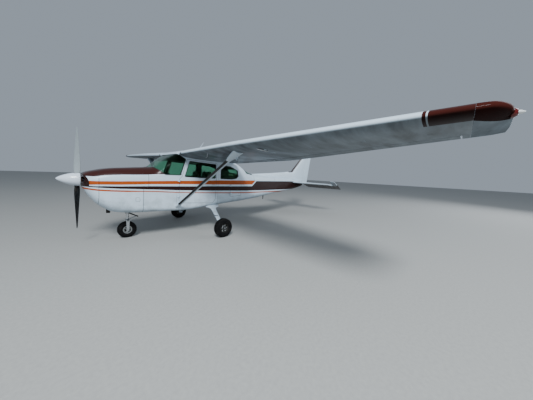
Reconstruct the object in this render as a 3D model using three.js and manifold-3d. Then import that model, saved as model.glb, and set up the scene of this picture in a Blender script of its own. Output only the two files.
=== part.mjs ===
// Light aircraft, four seats, high wing braced by struts, fixed nose-wheel gear.
//
// Millimetres. +X points forward, +Y to the left (port) wing, +Z up. The origin is on the
// ground, under the middle of the whole aircraft's bounding box.
//
// Every shape is first drawn in level flight attitude, by three stations:
//   aft   distance behind the firewall (the wall between engine and cabin)
//   left  distance to the left of the centre line
//   up    height, with the main axles at the radius of the main wheels
// The airframe group then pitches the whole of it nose up about the main axles, as it parks.

import * as THREE from 'three';
import { mergeVertices } from 'three/addons/utils/BufferGeometryUtils.js';
import Module from 'manifold-3d';

const wasm = await Module();
wasm.setup();

// Driving dimensions

const fitGap = 0.3; // between pieces that touch
const runGap = 7; // between pieces that move past each other
const pinPlay = 0.5; // radial play of a pin in its eye
const parkAngle = THREE.MathUtils.degToRad(3); // nose up on level ground

// Fuselage
const spinnerTipAft = -1258;
const propellerAft = -975;
const thrustLineUp = 1146;
const cowlNoseAft = -925;
const tailJointAft = 3150;
const tailConeEndAft = 6380;
const cabinWall = 42;
const cowlWall = 14;
const tailWall = 8;
const tailSkin = 8; // of the hollow fin and stabiliser
const glassThickness = 8;

// Wing
const wingRootLeft = 566;
const wingBreakLeft = 2540;
const wingTipJointLeft = 5200;
const halfSpan = 5440; // to the end of the tip, without its lamp
const rootChord = 1626;
const tipChord = 1118;
const wingRootAft = 660;
const wingTipAft = 780;
const wingRootUp = 1865;
const wingTipUp = 2000;
const rootIncidence = THREE.MathUtils.degToRad(1.5);
const tipIncidence = THREE.MathUtils.degToRad(-1.5);
const surfaceHinge = 0.775; // of the chord, for ailerons and flaps

// Tail
const stabHalfSpan = 1727;
const stabUp = 1450;
const stabRootLeft = 60;
const stabRootLeadAft = 5560;
const stabTipLeadAft = 6010;
const elevatorHingeAft = 6330;
const elevatorTrailAft = 6720;
const elevatorDroop = THREE.MathUtils.degToRad(23); // it hangs on its lower stop

// Landing gear
const mainAxleAft = 1478;
const mainWheelLeft = 1276;
const mainTyreRadius = 222.5;
const mainTyreWidth = 160;
const noseAxleAft = -173;
const noseTyreRadius = 180.5;
const noseTyreWidth = 126;

// Place of a point given by its stations

const at = (aft, left, up) => new THREE.Vector3(-aft, left, up);

// The three helpers that make, join and cut closed solids

function signedVolume(positions, index) {
  let volume = 0;
  const [a, b, c] = [new THREE.Vector3(), new THREE.Vector3(), new THREE.Vector3()];
  for (let i = 0; i < index.length; i += 3) {
    a.fromArray(positions, 3 * index[i]);
    b.fromArray(positions, 3 * index[i + 1]);
    c.fromArray(positions, 3 * index[i + 2]);
    volume += a.dot(b.cross(c)) / 6;
  }
  return volume;
}

function solidOf(geometry) {
  const bare = geometry.clone();
  bare.deleteAttribute('normal');
  bare.deleteAttribute('uv');
  const merged = mergeVertices(bare, 1e-3);
  const vertProperties = new Float32Array(merged.attributes.position.array);
  const triVerts = new Uint32Array(merged.index.array);
  if (signedVolume(vertProperties, triVerts) < 0) {
    for (let i = 0; i < triVerts.length; i += 3) {
      [triVerts[i], triVerts[i + 1]] = [triVerts[i + 1], triVerts[i]];
    }
  }
  return new wasm.Manifold(new wasm.Mesh({ numProp: 3, vertProperties, triVerts }));
}

function geometryOf(solid) {
  const mesh = solid.getMesh();
  const geometry = new THREE.BufferGeometry();
  geometry.setAttribute('position', new THREE.BufferAttribute(mesh.vertProperties, 3));
  geometry.setIndex(new THREE.BufferAttribute(mesh.triVerts, 1));
  geometry.computeVertexNormals();
  return geometry;
}

const join = (...solids) => solids.reduce((sum, solid) => sum.add(solid));
const cut = (solid, ...tools) => tools.reduce((rest, tool) => rest.subtract(tool), solid);

// Triangles that close a flat loop, turned the way the loop runs

function capTriangles(loop) {
  const normal = new THREE.Vector3();
  loop.forEach((point, i) => {
    const next = loop[(i + 1) % loop.length];
    normal.add(new THREE.Vector3().crossVectors(point, next));
  });
  const turn = new THREE.Quaternion();
  turn.setFromUnitVectors(normal.normalize(), new THREE.Vector3(0, 0, 1));
  const flat = loop.map((point) => {
    const turned = point.clone().applyQuaternion(turn);
    return new THREE.Vector2(turned.x, turned.y);
  });
  return THREE.ShapeUtils.triangulateShape(flat, []).map((face) => {
    const [a, b, c] = face.map((corner) => flat[corner]);
    const turns = (b.x - a.x) * (c.y - a.y) - (b.y - a.y) * (c.x - a.x);
    return turns > 0 ? face : [face[0], face[2], face[1]];
  });
}

// A closed solid through a row of loops with equal numbers of points

function loft(loops) {
  const count = loops[0].length;
  const last = (loops.length - 1) * count;
  const positions = loops.flatMap((loop) => loop.flatMap((point) => point.toArray()));
  const index = [];
  for (let ring = 0; ring < last; ring += count) {
    for (let i = 0; i < count; i++) {
      const a = ring + i;
      const b = ring + ((i + 1) % count);
      index.push(a, b, b + count, a, b + count, a + count);
    }
  }
  for (const [a, b, c] of capTriangles(loops[0])) {
    index.push(a, c, b);
  }
  for (const [a, b, c] of capTriangles(loops.at(-1))) {
    index.push(last + a, last + b, last + c);
  }
  const geometry = new THREE.BufferGeometry();
  geometry.setAttribute('position', new THREE.Float32BufferAttribute(positions, 3));
  geometry.setIndex(index);
  return solidOf(geometry);
}

// A side view outline, points of [aft, up], pushed through from one side to the other

const prism = (outline, leftFrom, leftTo) =>
  loft([leftFrom, leftTo].map((left) => outline.map(([aft, up]) => at(aft, left, up))));

// A plan view outline, points of [aft, left], pushed up from one height to another

const slab = (outline, upFrom, upTo) =>
  loft([upFrom, upTo].map((up) => outline.map(([aft, left]) => at(aft, left, up))));

function block(aftFrom, aftTo, leftFrom, leftTo, upFrom, upTo) {
  const size = [aftTo - aftFrom, leftTo - leftFrom, upTo - upFrom];
  const box = new THREE.BoxGeometry(...size);
  box.translate(-(aftFrom + aftTo) / 2, (leftFrom + leftTo) / 2, (upFrom + upTo) / 2);
  return solidOf(box);
}

// A round bar between two points

function rod(from, to, radius, sides = 12, radiusTo = radius) {
  const along = new THREE.Vector3().subVectors(to, from);
  const bar = new THREE.CylinderGeometry(radiusTo, radius, along.length(), sides);
  bar.translate(0, along.length() / 2, 0);
  const up = new THREE.Vector3(0, 1, 0);
  bar.applyQuaternion(new THREE.Quaternion().setFromUnitVectors(up, along.normalize()));
  bar.translate(from.x, from.y, from.z);
  return solidOf(bar);
}

// Moves every corner of a convex side view outline inwards by a distance

function shrink(outline, distance) {
  const area = outline.reduce((sum, [x, y], i) => {
    const [nextX, nextY] = outline[(i + 1) % outline.length];
    return sum + x * nextY - nextX * y;
  }, 0);
  const side = Math.sign(area) * distance;
  return outline.map(([x, y], i) => {
    const [beforeX, beforeY] = outline.at(i - 1);
    const [afterX, afterY] = outline[(i + 1) % outline.length];
    const into = new THREE.Vector2(x - beforeX, y - beforeY).normalize();
    const out = new THREE.Vector2(afterX - x, afterY - y).normalize();
    const reach = side / (1 + into.dot(out));
    return [x - (into.y + out.y) * reach, y + (into.x + out.x) * reach];
  });
}

// Fuselage sections: a flat-sided box with four rounded corners

const cornerSteps = 3;

function hullLoop(section, inset = 0) {
  const [aft, low, high, halfLow, halfHigh, cornerLow, cornerHigh] = section;
  const corners = [
    // left, up, radius, start angle in quarter turns
    [halfLow - cornerLow, low + cornerLow, cornerLow, -1],
    [halfHigh - cornerHigh, high - cornerHigh, cornerHigh, 0],
    [cornerHigh - halfHigh, high - cornerHigh, cornerHigh, 1],
    [cornerLow - halfLow, low + cornerLow, cornerLow, 2],
  ];
  return corners.flatMap(([left, up, radius, start]) =>
    Array.from({ length: cornerSteps + 1 }, (_, step) => {
      const angle = (start + step / cornerSteps) * (Math.PI / 2);
      const reach = Math.max(radius - inset, 1);
      const shift = reach - (radius - inset);
      const towardsLeft = left - Math.sign(left) * shift;
      const towardsUp = up - (start === 0 || start === 1 ? shift : -shift);
      return at(aft, towardsLeft + reach * Math.cos(angle), towardsUp + reach * Math.sin(angle));
    })
  );
}

// A section between two rows of a table, so that a solid can start and end anywhere

function sectionAt(table, aft) {
  const next = table.findIndex((row) => row[0] >= aft);
  if (next <= 0) {
    return [aft, ...table.at(next === 0 ? 0 : -1).slice(1)];
  }
  const [before, after] = [table[next - 1], table[next]];
  const share = (aft - before[0]) / (after[0] - before[0]);
  return before.map((value, column) => value + (after[column] - value) * share);
}

function hull(table, aftFrom, aftTo, inset = 0) {
  const inside = table.filter(([aft]) => aft > aftFrom + 1 && aft < aftTo - 1);
  const rows = [sectionAt(table, aftFrom), ...inside, sectionAt(table, aftTo)];
  return loft(rows.map((row) => hullLoop(row, inset)));
}

const hullTable = [
  // aft, low, high, half width low, half width high, corner radius low, corner radius high
  [-925, 1045, 1245, 185, 205, 80, 95],
  [-900, 985, 1276, 255, 300, 135, 150],
  [-850, 888, 1302, 330, 362, 192, 185],
  [-720, 708, 1347, 412, 416, 225, 205],
  [-600, 612, 1382, 446, 441, 208, 210],
  [-535, 574, 1395, 462, 451, 196, 212],
  [-470, 552, 1409, 476, 460, 185, 215],
  [-200, 528, 1447, 508, 495, 150, 235],
  [0, 534, 1475, 530, 515, 130, 250],
  [220, 541, 1505, 545, 525, 113, 262],
  [410, 545, 1672, 555, 532, 100, 255],
  [560, 547, 1788, 560, 540, 90, 215],
  [640, 549, 1842, 562, 546, 88, 120],
  [690, 550, 1905, 563, 550, 86, 42],
  [800, 554, 1945, 564, 553, 84, 34],
  [1000, 567, 1974, 564, 554, 84, 30],
  [1250, 590, 1980, 564, 554, 92, 30],
  [1500, 621, 1960, 562, 553, 110, 30],
  [1800, 656, 1920, 556, 547, 138, 32],
  [2286, 706, 1832, 540, 528, 165, 50],
  [2400, 717, 1806, 534, 518, 165, 90],
  [3150, 795, 1588, 440, 400, 170, 170],
  [4300, 972, 1560, 300, 255, 130, 130],
  [5500, 1150, 1540, 160, 130, 75, 70],
  [6100, 1268, 1530, 96, 80, 42, 36],
  [6380, 1352, 1524, 62, 50, 28, 24],
];

// Window and door outlines in side view, points of [aft, up]

const windshieldOutline = [
  [196, 1520],
  [408, 1362],
  [728, 1376],
  [836, 1750],
  [640, 1848],
  [600, 1880],
];

const rearWindowOutline = [
  [2420, 1900],
  [3105, 1700],
  [3105, 1560],
  [2760, 1585],
];

const sideWindowOutline = [
  [1800, 1365],
  [2180, 1372],
  [2340, 1405],
  [2410, 1470],
  [2366, 1636],
  [2110, 1716],
  [1800, 1724],
];

const doorOutline = [
  [770, 738],
  [712, 800],
  [712, 1285],
  [766, 1345],
  [868, 1752],
  [1668, 1752],
  [1668, 830],
  [1600, 722],
];

const doorWindowOutline = [
  [826, 1348],
  [930, 1718],
  [1640, 1718],
  [1640, 1360],
];

const baggageDoorOutline = [
  [2150, 880],
  [2150, 1262],
  [2545, 1262],
  [2545, 920],
];

const doorHinge = { aft: 703, left: 578, heights: [880, 1240] };
const baggageHinge = { aft: 2141, left: 562, heights: [960, 1180] };

// Finishes

const finish = (color, roughness, metalness, more = {}) =>
  new THREE.MeshStandardMaterial({ color, roughness, metalness, ...more });

const whitePaint = finish(0xdfe6e8, 0.32, 0);
const brownPaint = finish(0x3f1c17, 0.35, 0);
const clearGlass = finish(0x7fb09a, 0.08, 0, { transparent: true, opacity: 0.35 });
const tyreRubber = finish(0x17181a, 0.85, 0);
const wheelAlloy = finish(0xb7b9ba, 0.4, 0.9);
const barePolished = finish(0xc9ced2, 0.25, 1);
const darkSteel = finish(0x3a3a3c, 0.55, 0.8);
const engineIron = finish(0x55585a, 0.6, 0.7);
const blackPlastic = finish(0x1c1c1e, 0.6, 0);
const seatCloth = finish(0x6b5a4c, 0.9, 0);
const floorCarpet = finish(0x4a4440, 0.95, 0);
const redLens = finish(0xa81a14, 0.2, 0);
const greenLens = finish(0x1d8a4a, 0.2, 0);

// The airframe group, and groups that turn a piece about a hinge

const aircraft = new THREE.Group();
const airframe = new THREE.Group();
aircraft.add(airframe);
const mainAxle = at(mainAxleAft, 0, mainTyreRadius);
airframe.rotation.y = -parkAngle;
airframe.position.copy(mainAxle).sub(mainAxle.clone().applyEuler(airframe.rotation));

function addPart(name, solid, material, group = airframe) {
  const mesh = new THREE.Mesh(geometryOf(solid), material);
  mesh.name = name;
  group.add(mesh);
  return mesh;
}

// Joints, by name: a point on the axis and the way it points, in the airframe's stations

const joints = {};

function addJoint(name, point, axis) {
  joints[name] = { point: point.toArray(), axis: axis.clone().normalize().toArray() };
}

const leftward = new THREE.Vector3(0, 1, 0);
const upward = new THREE.Vector3(0, 0, 1);
const forward = new THREE.Vector3(1, 0, 0);

// Level height of a point that is to lie at a height above the ground

function levelUp(aft, groundUp) {
  const lift = (mainAxleAft - aft) * Math.sin(parkAngle);
  return mainTyreRadius + (groundUp - mainTyreRadius - lift) / Math.cos(parkAngle);
}

// Wing and tail sections: a four digit series profile

function profileAt(share, thickness, camber, camberPlace = 0.4) {
  const root = 0.2969 * Math.sqrt(share);
  const rest = share * (-0.126 + share * (-0.3516 + share * (0.2843 - 0.1036 * share)));
  const half = 5 * thickness * (root + rest);
  const front = share < camberPlace;
  const bend = front
    ? (camber / camberPlace ** 2) * (2 * camberPlace * share - share ** 2)
    : (camber / (1 - camberPlace) ** 2) * (1 - 2 * camberPlace + 2 * camberPlace * share - share ** 2);
  return { half, bend };
}

const wingThickness = 0.12;
const wingCamber = 0.02;

// What the wing is at a station to the left: leading edge, chord and twist

function wingAt(left) {
  const out = THREE.MathUtils.clamp((left - wingRootLeft) / (wingTipJointLeft - wingRootLeft), 0, 1.2);
  const taper = Math.max(0, (left - wingBreakLeft) / (wingTipJointLeft - wingBreakLeft));
  return {
    leadAft: wingRootAft + (wingTipAft - wingRootAft) * taper,
    leadUp: wingRootUp + (wingTipUp - wingRootUp) * out,
    chord: rootChord + (tipChord - rootChord) * taper,
    pitch: rootIncidence + (tipIncidence - rootIncidence) * Math.min(taper, 1),
  };
}

// A point of the wing: share of the chord, and 1 for the top, -1 for the underside, 0 between

function wingPoint(left, share, side) {
  const { leadAft, leadUp, chord, pitch } = wingAt(left);
  const { half, bend } = profileAt(share, wingThickness, wingCamber);
  const along = share * chord;
  const across = (bend + side * half) * chord;
  const aft = leadAft + along * Math.cos(pitch) + across * Math.sin(pitch);
  return at(aft, left, leadUp - along * Math.sin(pitch) + across * Math.cos(pitch));
}

const wingShares = [1, 0.9, 0.775, 0.6, 0.42, 0.26, 0.14, 0.06, 0.015];

function wingLoop(left) {
  const top = wingShares.map((share) => wingPoint(left, share, 1));
  const nose = wingPoint(left, 0, 0);
  const under = wingShares.slice(1).reverse().map((share) => wingPoint(left, share, -1));
  return [...top, nose, ...under];
}

const mirrored = (solid) => {
  const geometry = geometryOf(solid);
  geometry.scale(1, -1, 1);
  return solidOf(geometry);
};

// A moving surface on the wing: round nose about its hinge, then the wing's own skins

const noseSteps = 4;

function surfaceCentre(left) {
  return wingPoint(left, surfaceHinge, 0);
}

function surfaceRadius(left) {
  return wingPoint(left, surfaceHinge, 1).distanceTo(surfaceCentre(left)) - 1;
}

function surfaceLoop(left) {
  const centre = surfaceCentre(left);
  const radius = surfaceRadius(left);
  const nose = Array.from({ length: noseSteps + 1 }, (_, step) => {
    const angle = Math.PI * (0.5 - step / noseSteps);
    const [ahead, above] = [radius * Math.cos(angle), radius * Math.sin(angle)];
    return new THREE.Vector3(centre.x + ahead, left, centre.z + above);
  });
  const under = [0.88, 1].map((share) => wingPoint(left, share, -1));
  const top = [wingPoint(left, 0.88, 1)];
  return [...nose, ...under, ...top];
}

// Hinge with an eye on the fixed side and a pin across a slot on the moving side

const eyeWidth = 10;
const eyeRadius = 11;
const pinRadius = 5;
const hingeSides = 8;
const slotWidth = eyeWidth + 2 * 6;
const slotRadius = eyeRadius + 6;
const slotFlare = 0.3; // the slot widens by this share of its length, for the swing of the piece

// centre: where the eye is; along: unit vector of the hinge; towards: unit vector to the fixed side

function hingeParts(centre, along, towards, reach, scale = 1) {
  const [width, eye, pin] = [eyeWidth * scale, eyeRadius * scale, pinRadius * scale];
  const [gapWidth, gapRadius] = [slotWidth * scale, slotRadius * scale];
  const step = (distance) => centre.clone().addScaledVector(along, distance);
  const disc = (radius, wide) => rod(step(-wide / 2), step(wide / 2), radius, hingeSides);
  const arm = (wide, height, length, farHeight = height) => {
    const side = new THREE.Vector3().crossVectors(along, towards);
    const corner = (a, b, c) =>
      centre.clone().addScaledVector(along, a).addScaledVector(side, b).addScaledVector(towards, c);
    return loft(
      [-wide / 2, wide / 2].map((a) => [
        corner(a, -height, 0),
        corner(a, height, 0),
        corner(a, farHeight, length),
        corner(a, -farHeight, length),
      ])
    );
  };
  const bore = disc(pin + pinPlay, width * 3);
  const bracket = join(disc(eye, width), arm(width, eye * 0.8, reach));
  const bite = gapRadius / Math.cos(Math.PI / hingeSides);
  const room = reach + bite;
  return {
    eye: cut(bracket, bore),
    slot: join(disc(bite, gapWidth), arm(gapWidth, bite, room, bite + slotFlare * room)),
    pin: disc(pin, gapWidth + 4),
  };
}

// Wings, ailerons and flaps

const bayInner = 604;
const flapInner = bayInner + 8;
const flapOuter = wingBreakLeft - 4;
const aileronInner = wingBreakLeft + 4;
const bayOuter = 5140;
const aileronOuter = bayOuter - 13;
const stationsLeft = [wingRootLeft, wingBreakLeft, wingTipJointLeft - fitGap];

const bayFace = (left) => surfaceCentre(left).x + surfaceRadius(left) + runGap;

function bayCutter() {
  const edge = [bayInner, wingBreakLeft, bayOuter];
  const loops = edge.map((left) => [
    new THREE.Vector3(bayFace(left), left, 1500),
    new THREE.Vector3(bayFace(left), left, 2400),
    new THREE.Vector3(-2700, left, 2400),
    new THREE.Vector3(-2700, left, 1500),
  ]);
  return loft(loops);
}

const aileronStart = surfaceCentre(aileronInner);
const aileronAxis = new THREE.Vector3()
  .subVectors(surfaceCentre(aileronOuter), aileronStart)
  .normalize();
const onAileronAxis = (left) =>
  aileronStart.clone().addScaledVector(aileronAxis, (left - aileronInner) / aileronAxis.y);
const aileronHingesLeft = [2900, 3850, 4800];
const flapTracksLeft = [900, 2200];
const flapHingeDrop = 205;
const flapHingeBack = 30;
const trackHalf = 15;
const racePlay = 1; // of the flap's pin between the two edges of its curved slot
const trackWidth = 10;
const flapTravel = THREE.MathUtils.degToRad(40);

const flapPinCentre = surfaceCentre(flapTracksLeft[0]);
const flapHingePoint = flapPinCentre.clone().add(new THREE.Vector3(-flapHingeBack, 0, -flapHingeDrop));
const flapAxis = new THREE.Vector3()
  .subVectors(surfaceCentre(flapInner), surfaceCentre(flapOuter))
  .normalize();

// A band about the flap's hinge: an arc plate, from one angle to another, measured from straight up

function arcBand(left, inner, outer, angleFrom, angleTo, width) {
  const steps = 8;
  const centre = surfaceCentre(left).add(new THREE.Vector3(-flapHingeBack, 0, -flapHingeDrop));
  const arcPoint = (radius, angle, side) =>
    new THREE.Vector3(
      centre.x - radius * Math.sin(angle),
      left + side,
      centre.z + radius * Math.cos(angle)
    );
  const loops = [];
  for (let step = 0; step <= steps; step++) {
    const angle = angleFrom + ((angleTo - angleFrom) * step) / steps;
    loops.push([
      arcPoint(inner, angle, -width / 2),
      arcPoint(outer, angle, -width / 2),
      arcPoint(outer, angle, width / 2),
      arcPoint(inner, angle, width / 2),
    ]);
  }
  return loft(loops);
}

function flapTrack(left) {
  const radius = Math.hypot(flapHingeDrop, flapHingeBack);
  const rest = -Math.atan2(flapHingeBack, flapHingeDrop);
  const spare = 0.09;
  const plate = arcBand(
    left, radius - trackHalf, radius + trackHalf, rest - spare, rest + flapTravel + spare, trackWidth
  );
  const clear = pinRadius + racePlay;
  const race = arcBand(
    left, radius - clear, radius + clear, rest - 0.03, rest + flapTravel + 0.03, trackWidth * 3
  );
  const centre = surfaceCentre(left);
  const arm = block(
    -(bayFace(left) + 4), -(centre.x + 8),
    left - trackWidth / 2, left + trackWidth / 2,
    centre.z - 14, centre.z + 12
  );
  const notch = arcBand(left, radius - 24, radius + 24, rest - 0.4, rest + 0.95, slotWidth);
  const pinHalf = slotWidth / 2 + 2;
  const pin = rod(
    new THREE.Vector3(centre.x, left - pinHalf, centre.z),
    new THREE.Vector3(centre.x, left + pinHalf, centre.z),
    pinRadius
  );
  return { fixed: cut(join(plate, arm), race), notch, pin };
}

function makeWing() {
  let wing = cut(loft(stationsLeft.map(wingLoop)), bayCutter());
  let aileron = loft([aileronInner, aileronOuter].map(surfaceLoop));
  let flap = loft([flapInner, flapOuter].map(surfaceLoop));
  for (const left of aileronHingesLeft) {
    const centre = onAileronAxis(left);
    const { eye, slot, pin } = hingeParts(centre, aileronAxis, forward, surfaceRadius(left) + runGap + 8);
    wing = join(wing, eye);
    aileron = join(cut(aileron, slot), pin);
  }
  for (const left of flapTracksLeft) {
    const { fixed, notch, pin } = flapTrack(left);
    wing = join(wing, fixed);
    flap = join(cut(flap, notch), pin);
  }
  return { wing, aileron, flap };
}

// Wing tip: the last wing section carried on, rounded off and drooping a little

const tipTable = [
  // left, lead moved aft, trail moved ahead, thickness scale, middle raised
  [wingTipJointLeft, 0, 0, 1, 0],
  [5290, 30, 0, 0.93, 8],
  [5350, 110, 0, 0.78, 13],
  [5390, 220, 4, 0.58, 18],
  [5420, 420, 14, 0.38, 20],
  [halfSpan, 760, 34, 0.16, 18],
];
const tipLampLeft = 5400;
const tipLampSize = [46, 84 + fitGap, 34];

function tipLoop([left, leadBack, trailAhead, thick, raise]) {
  const base = wingLoop(wingTipJointLeft);
  const { leadAft, chord } = wingAt(wingTipJointLeft);
  const scale = (chord - leadBack - trailAhead) / chord;
  const middle = wingPoint(wingTipJointLeft, 0.5, 0).z;
  return base.map((point) => {
    const aft = leadAft + leadBack + (-point.x - leadAft) * scale;
    return at(aft, left, middle + (point.z - middle) * thick + raise);
  });
}

const { wing, aileron, flap } = makeWing();
const tipStart = fitGap;
const tipWhole = loft(tipTable.map((row, i) => tipLoop(i === 0 ? [row[0] + tipStart, ...row.slice(1)] : row)));
const tipLampUp = wingPoint(wingTipJointLeft, 0.5, 0).z + 18;
const tipLamp = dome(at(1150, tipLampLeft, tipLampUp), tipLampSize, leftward);
const lampSeatSize = tipLampSize.map((half) => half + fitGap);
const lampSeat = dome(at(1150, tipLampLeft - fitGap, tipLampUp), lampSeatSize, leftward);
const tip = cut(tipWhole, lampSeat);

addPart('wing_left', wing, whitePaint);
addPart('wing_right', mirrored(wing), whitePaint);
addPart('wing_tip_left', tip, brownPaint);
addPart('wing_tip_right', mirrored(tip), brownPaint);
addPart('aileron_left', aileron, whitePaint);
addPart('aileron_right', mirrored(aileron), whitePaint);
addPart('flap_left', flap, whitePaint);
addPart('flap_right', mirrored(flap), whitePaint);
const mirrorPoint = (point) => new THREE.Vector3(point.x, -point.y, point.z);
addJoint('aileron_left_hinge', aileronStart, aileronAxis);
addJoint('aileron_right_hinge', mirrorPoint(aileronStart), mirrorPoint(aileronAxis).negate());
addJoint('flap_left_hinge', flapHingePoint, flapAxis);
addJoint('flap_right_hinge', mirrorPoint(flapHingePoint), mirrorPoint(flapAxis).negate());

// Cabin shell, with the windows, doors and baggage door cut

const beyond = 700; // well outside the cabin on each side

function panel(outline, inset, thickness, leftFrom) {
  const skin = cut(hull(hullTable, 0, tailJointAft), hull(hullTable, -1, tailJointAft + 1, thickness));
  return skin.intersect(prism(shrink(outline, inset), leftFrom, beyond));
}

function cabinShell() {
  const outer = hull(hullTable, 0, tailJointAft);
  const inner = hull(hullTable, cabinWall, tailJointAft - 20, cabinWall);
  const through = [windshieldOutline, rearWindowOutline, sideWindowOutline].map((outline) =>
    prism(outline, -beyond, beyond)
  );
  const doorHole = prism(shrink(doorOutline, -6), -beyond, beyond);
  const baggageHole = prism(shrink(baggageDoorOutline, -6), 0, beyond);
  const wingSeat = [1, -1].map((side) =>
    block(wingRootAft - 5, 2300, side > 0 ? 556 : -700, side > 0 ? 700 : -556, 1775, 2100)
  );
  return cut(outer, inner, ...through, doorHole, baggageHole, ...wingSeat);
}

addPart('windshield', panel(windshieldOutline, fitGap, glassThickness, -beyond), clearGlass);
addPart('rear_window', panel(rearWindowOutline, fitGap, glassThickness, -beyond), clearGlass);
const sideGlass = panel(sideWindowOutline, fitGap, glassThickness, 0);
addPart('side_window_left', sideGlass, clearGlass);
addPart('side_window_right', mirrored(sideGlass), clearGlass);

// A barrel hinge on the outside of the skin: eye on the shell, lug with its pin on the door

const barrelRadius = 10;
const barrelHalf = 12;
const barrelPin = 4;

function barrelHinge(aft, left, up) {
  const tube = (from, to, radius) => rod(at(aft, left, up + from), at(aft, left, up + to), radius, 8);
  const shellArm = block(aft - 34, aft - 2, left - 26, left - 2, up - barrelHalf, up + barrelHalf);
  const [lugLow, lugHigh] = [barrelHalf + 0.4, barrelHalf + 18];
  const doorArm = block(aft + 6, aft + 46, left - 30, left - 2, up + lugLow, up + lugHigh);
  const bore = tube(-40, 40, barrelPin + pinPlay);
  return {
    eye: cut(join(tube(-barrelHalf, barrelHalf, barrelRadius), shellArm), bore),
    lug: join(
      tube(lugLow, lugHigh, barrelRadius),
      doorArm,
      tube(-barrelHalf, barrelHalf + 10, barrelPin)
    ),
  };
}

const barrels = (hinge) => hinge.heights.map((up) => barrelHinge(hinge.aft, hinge.left, up));

function withHinges(leaf, hinge) {
  return join(leaf, ...barrels(hinge).map(({ lug }) => lug));
}

function makeCabin() {
  const left = barrels(doorHinge).map(({ eye }) => eye);
  const right = left.map(mirrored);
  const baggage = barrels(baggageHinge).map(({ eye }) => eye);
  return join(cabinShell(), ...left, ...right, ...baggage);
}

addPart('cabin_shell', makeCabin(), whitePaint);

const doorHandle = block(1540, 1640, 552, 580, 1180, 1202);
const doorPanel = cut(
  withHinges(join(panel(doorOutline, 0, cabinWall, 0), doorHandle), doorHinge),
  prism(doorWindowOutline, 0, beyond)
);
const doorGlass = panel(doorWindowOutline, fitGap, glassThickness, 0);
addPart('door_left', doorPanel, whitePaint);
addPart('door_right', mirrored(doorPanel), whitePaint);
addPart('door_window_left', doorGlass, clearGlass);
addPart('door_window_right', mirrored(doorGlass), clearGlass);
addPart('baggage_door', withHinges(panel(baggageDoorOutline, 0, cabinWall, 0), baggageHinge), whitePaint);
addJoint('door_left_hinge', at(doorHinge.aft, doorHinge.left, 1000), upward.clone().negate());
addJoint('door_right_hinge', at(doorHinge.aft, -doorHinge.left, 1000), upward);
addJoint('baggage_door_hinge', at(baggageHinge.aft, baggageHinge.left, 1000), upward.clone().negate());

// Cowl in two halves, engine block with its mount and shaft, exhaust

const shaftRadius = 58;
const cowlBore = 74;
const hubBackAft = -940;
const hubFrontAft = -1012;

function inletCutter() {
  const loop = (aft) =>
    Array.from({ length: 12 }, (_, step) => {
      const angle = (step / 12) * 2 * Math.PI;
      return at(aft, 228 + 84 * Math.cos(angle), 1163 + 50 * Math.sin(angle));
    });
  return loft([-960, -840].map(loop));
}

function makeCowl() {
  const outer = hull(hullTable, cowlNoseAft, -fitGap);
  const inner = hull(hullTable, cowlNoseAft + 16, 30, cowlWall);
  const bore = rod(at(-960, 0, thrustLineUp), at(-840, 0, thrustLineUp), cowlBore, 24);
  const outlet = block(-270, 30, -80, 80, 500, 640);
  const inlet = inletCutter();
  return cut(outer, inner, bore, outlet, inlet, mirrored(inlet));
}

const cowl = makeCowl();
const cowlSplitUp = thrustLineUp;
const cowlHalf = (upFrom, upTo) => block(-1000, 100, -700, 700, upFrom, upTo);
addPart('cowl_upper', cowl.intersect(cowlHalf(cowlSplitUp + fitGap / 2, 1700)), whitePaint);
const lowerCowl = cowl.intersect(cowlHalf(400, cowlSplitUp - fitGap / 2));

const engineLowUp = 868;
const engineBackAft = -130;
const mountPlaces = [
  // left, up
  [250, 900],
  [-250, 900],
  [250, 1215],
  [-250, 1215],
];

function makeEngine() {
  const body = block(-740, engineBackAft, -320, 320, engineLowUp, 1250);
  const heads = block(-690, -200, -385, 385, 1000, 1170);
  const nose = block(-830, -735, -200, 200, 960, 1240);
  const shaft = rod(at(-820, 0, thrustLineUp), at(hubBackAft + fitGap, 0, thrustLineUp), shaftRadius, 20);
  const mounts = mountPlaces.map(([left, up]) =>
    rod(at(engineBackAft - 5, left, up), at(-fitGap, left, up), 16, 8)
  );
  return join(body, heads, nose, shaft, ...mounts);
}

addPart('engine_block', makeEngine(), engineIron);

const exhaustLeft = -130;
const exhaustAft = -500;
const exhaustRake = 10; // its low end lies this far behind its top

function makeExhaust() {
  const low = exhaustAft + exhaustRake;
  const outer = rod(at(exhaustAft, exhaustLeft, 920), at(low, exhaustLeft, 458), 24, 12);
  const inner = rod(at(low - 3, exhaustLeft, 580), at(low, exhaustLeft, 440), 20, 12);
  return cut(outer, inner, block(-600, -300, -300, 0, engineLowUp - fitGap, 1100));
}

function makeLowerCowl(half) {
  const low = exhaustAft + exhaustRake;
  const hole = rod(at(exhaustAft + 1, exhaustLeft, 860), at(low, exhaustLeft, 460), 34, 12);
  return cut(half, hole);
}

addPart('cowl_lower', makeLowerCowl(lowerCowl), whitePaint);
addPart('exhaust_pipe', makeExhaust(), darkSteel);

// Propeller and spinner, turned about the thrust line

const hubRadius = 70;
const propellerLean = THREE.MathUtils.degToRad(2.8);

const bladeTable = [
  // radius, chord, thickness, pitch in degrees
  [50, 56, 56, 58],
  [130, 92, 44, 50],
  [210, 128, 31, 42],
  [330, 148, 22, 33],
  [520, 154, 15, 24],
  [720, 140, 11, 18],
  [860, 112, 8, 15],
  [930, 78, 6, 14],
  [952.5, 34, 4, 14],
];

// Blade section: [share of chord from the middle, share of thickness]

const bladeSection = [
  [0.5, 0.12],
  [0.42, 0.42],
  [0.2, 0.62],
  [-0.1, 0.5],
  [-0.5, 0.06],
  [-0.5, -0.06],
  [-0.1, -0.3],
  [0.3, -0.36],
  [0.48, -0.2],
];

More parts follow.
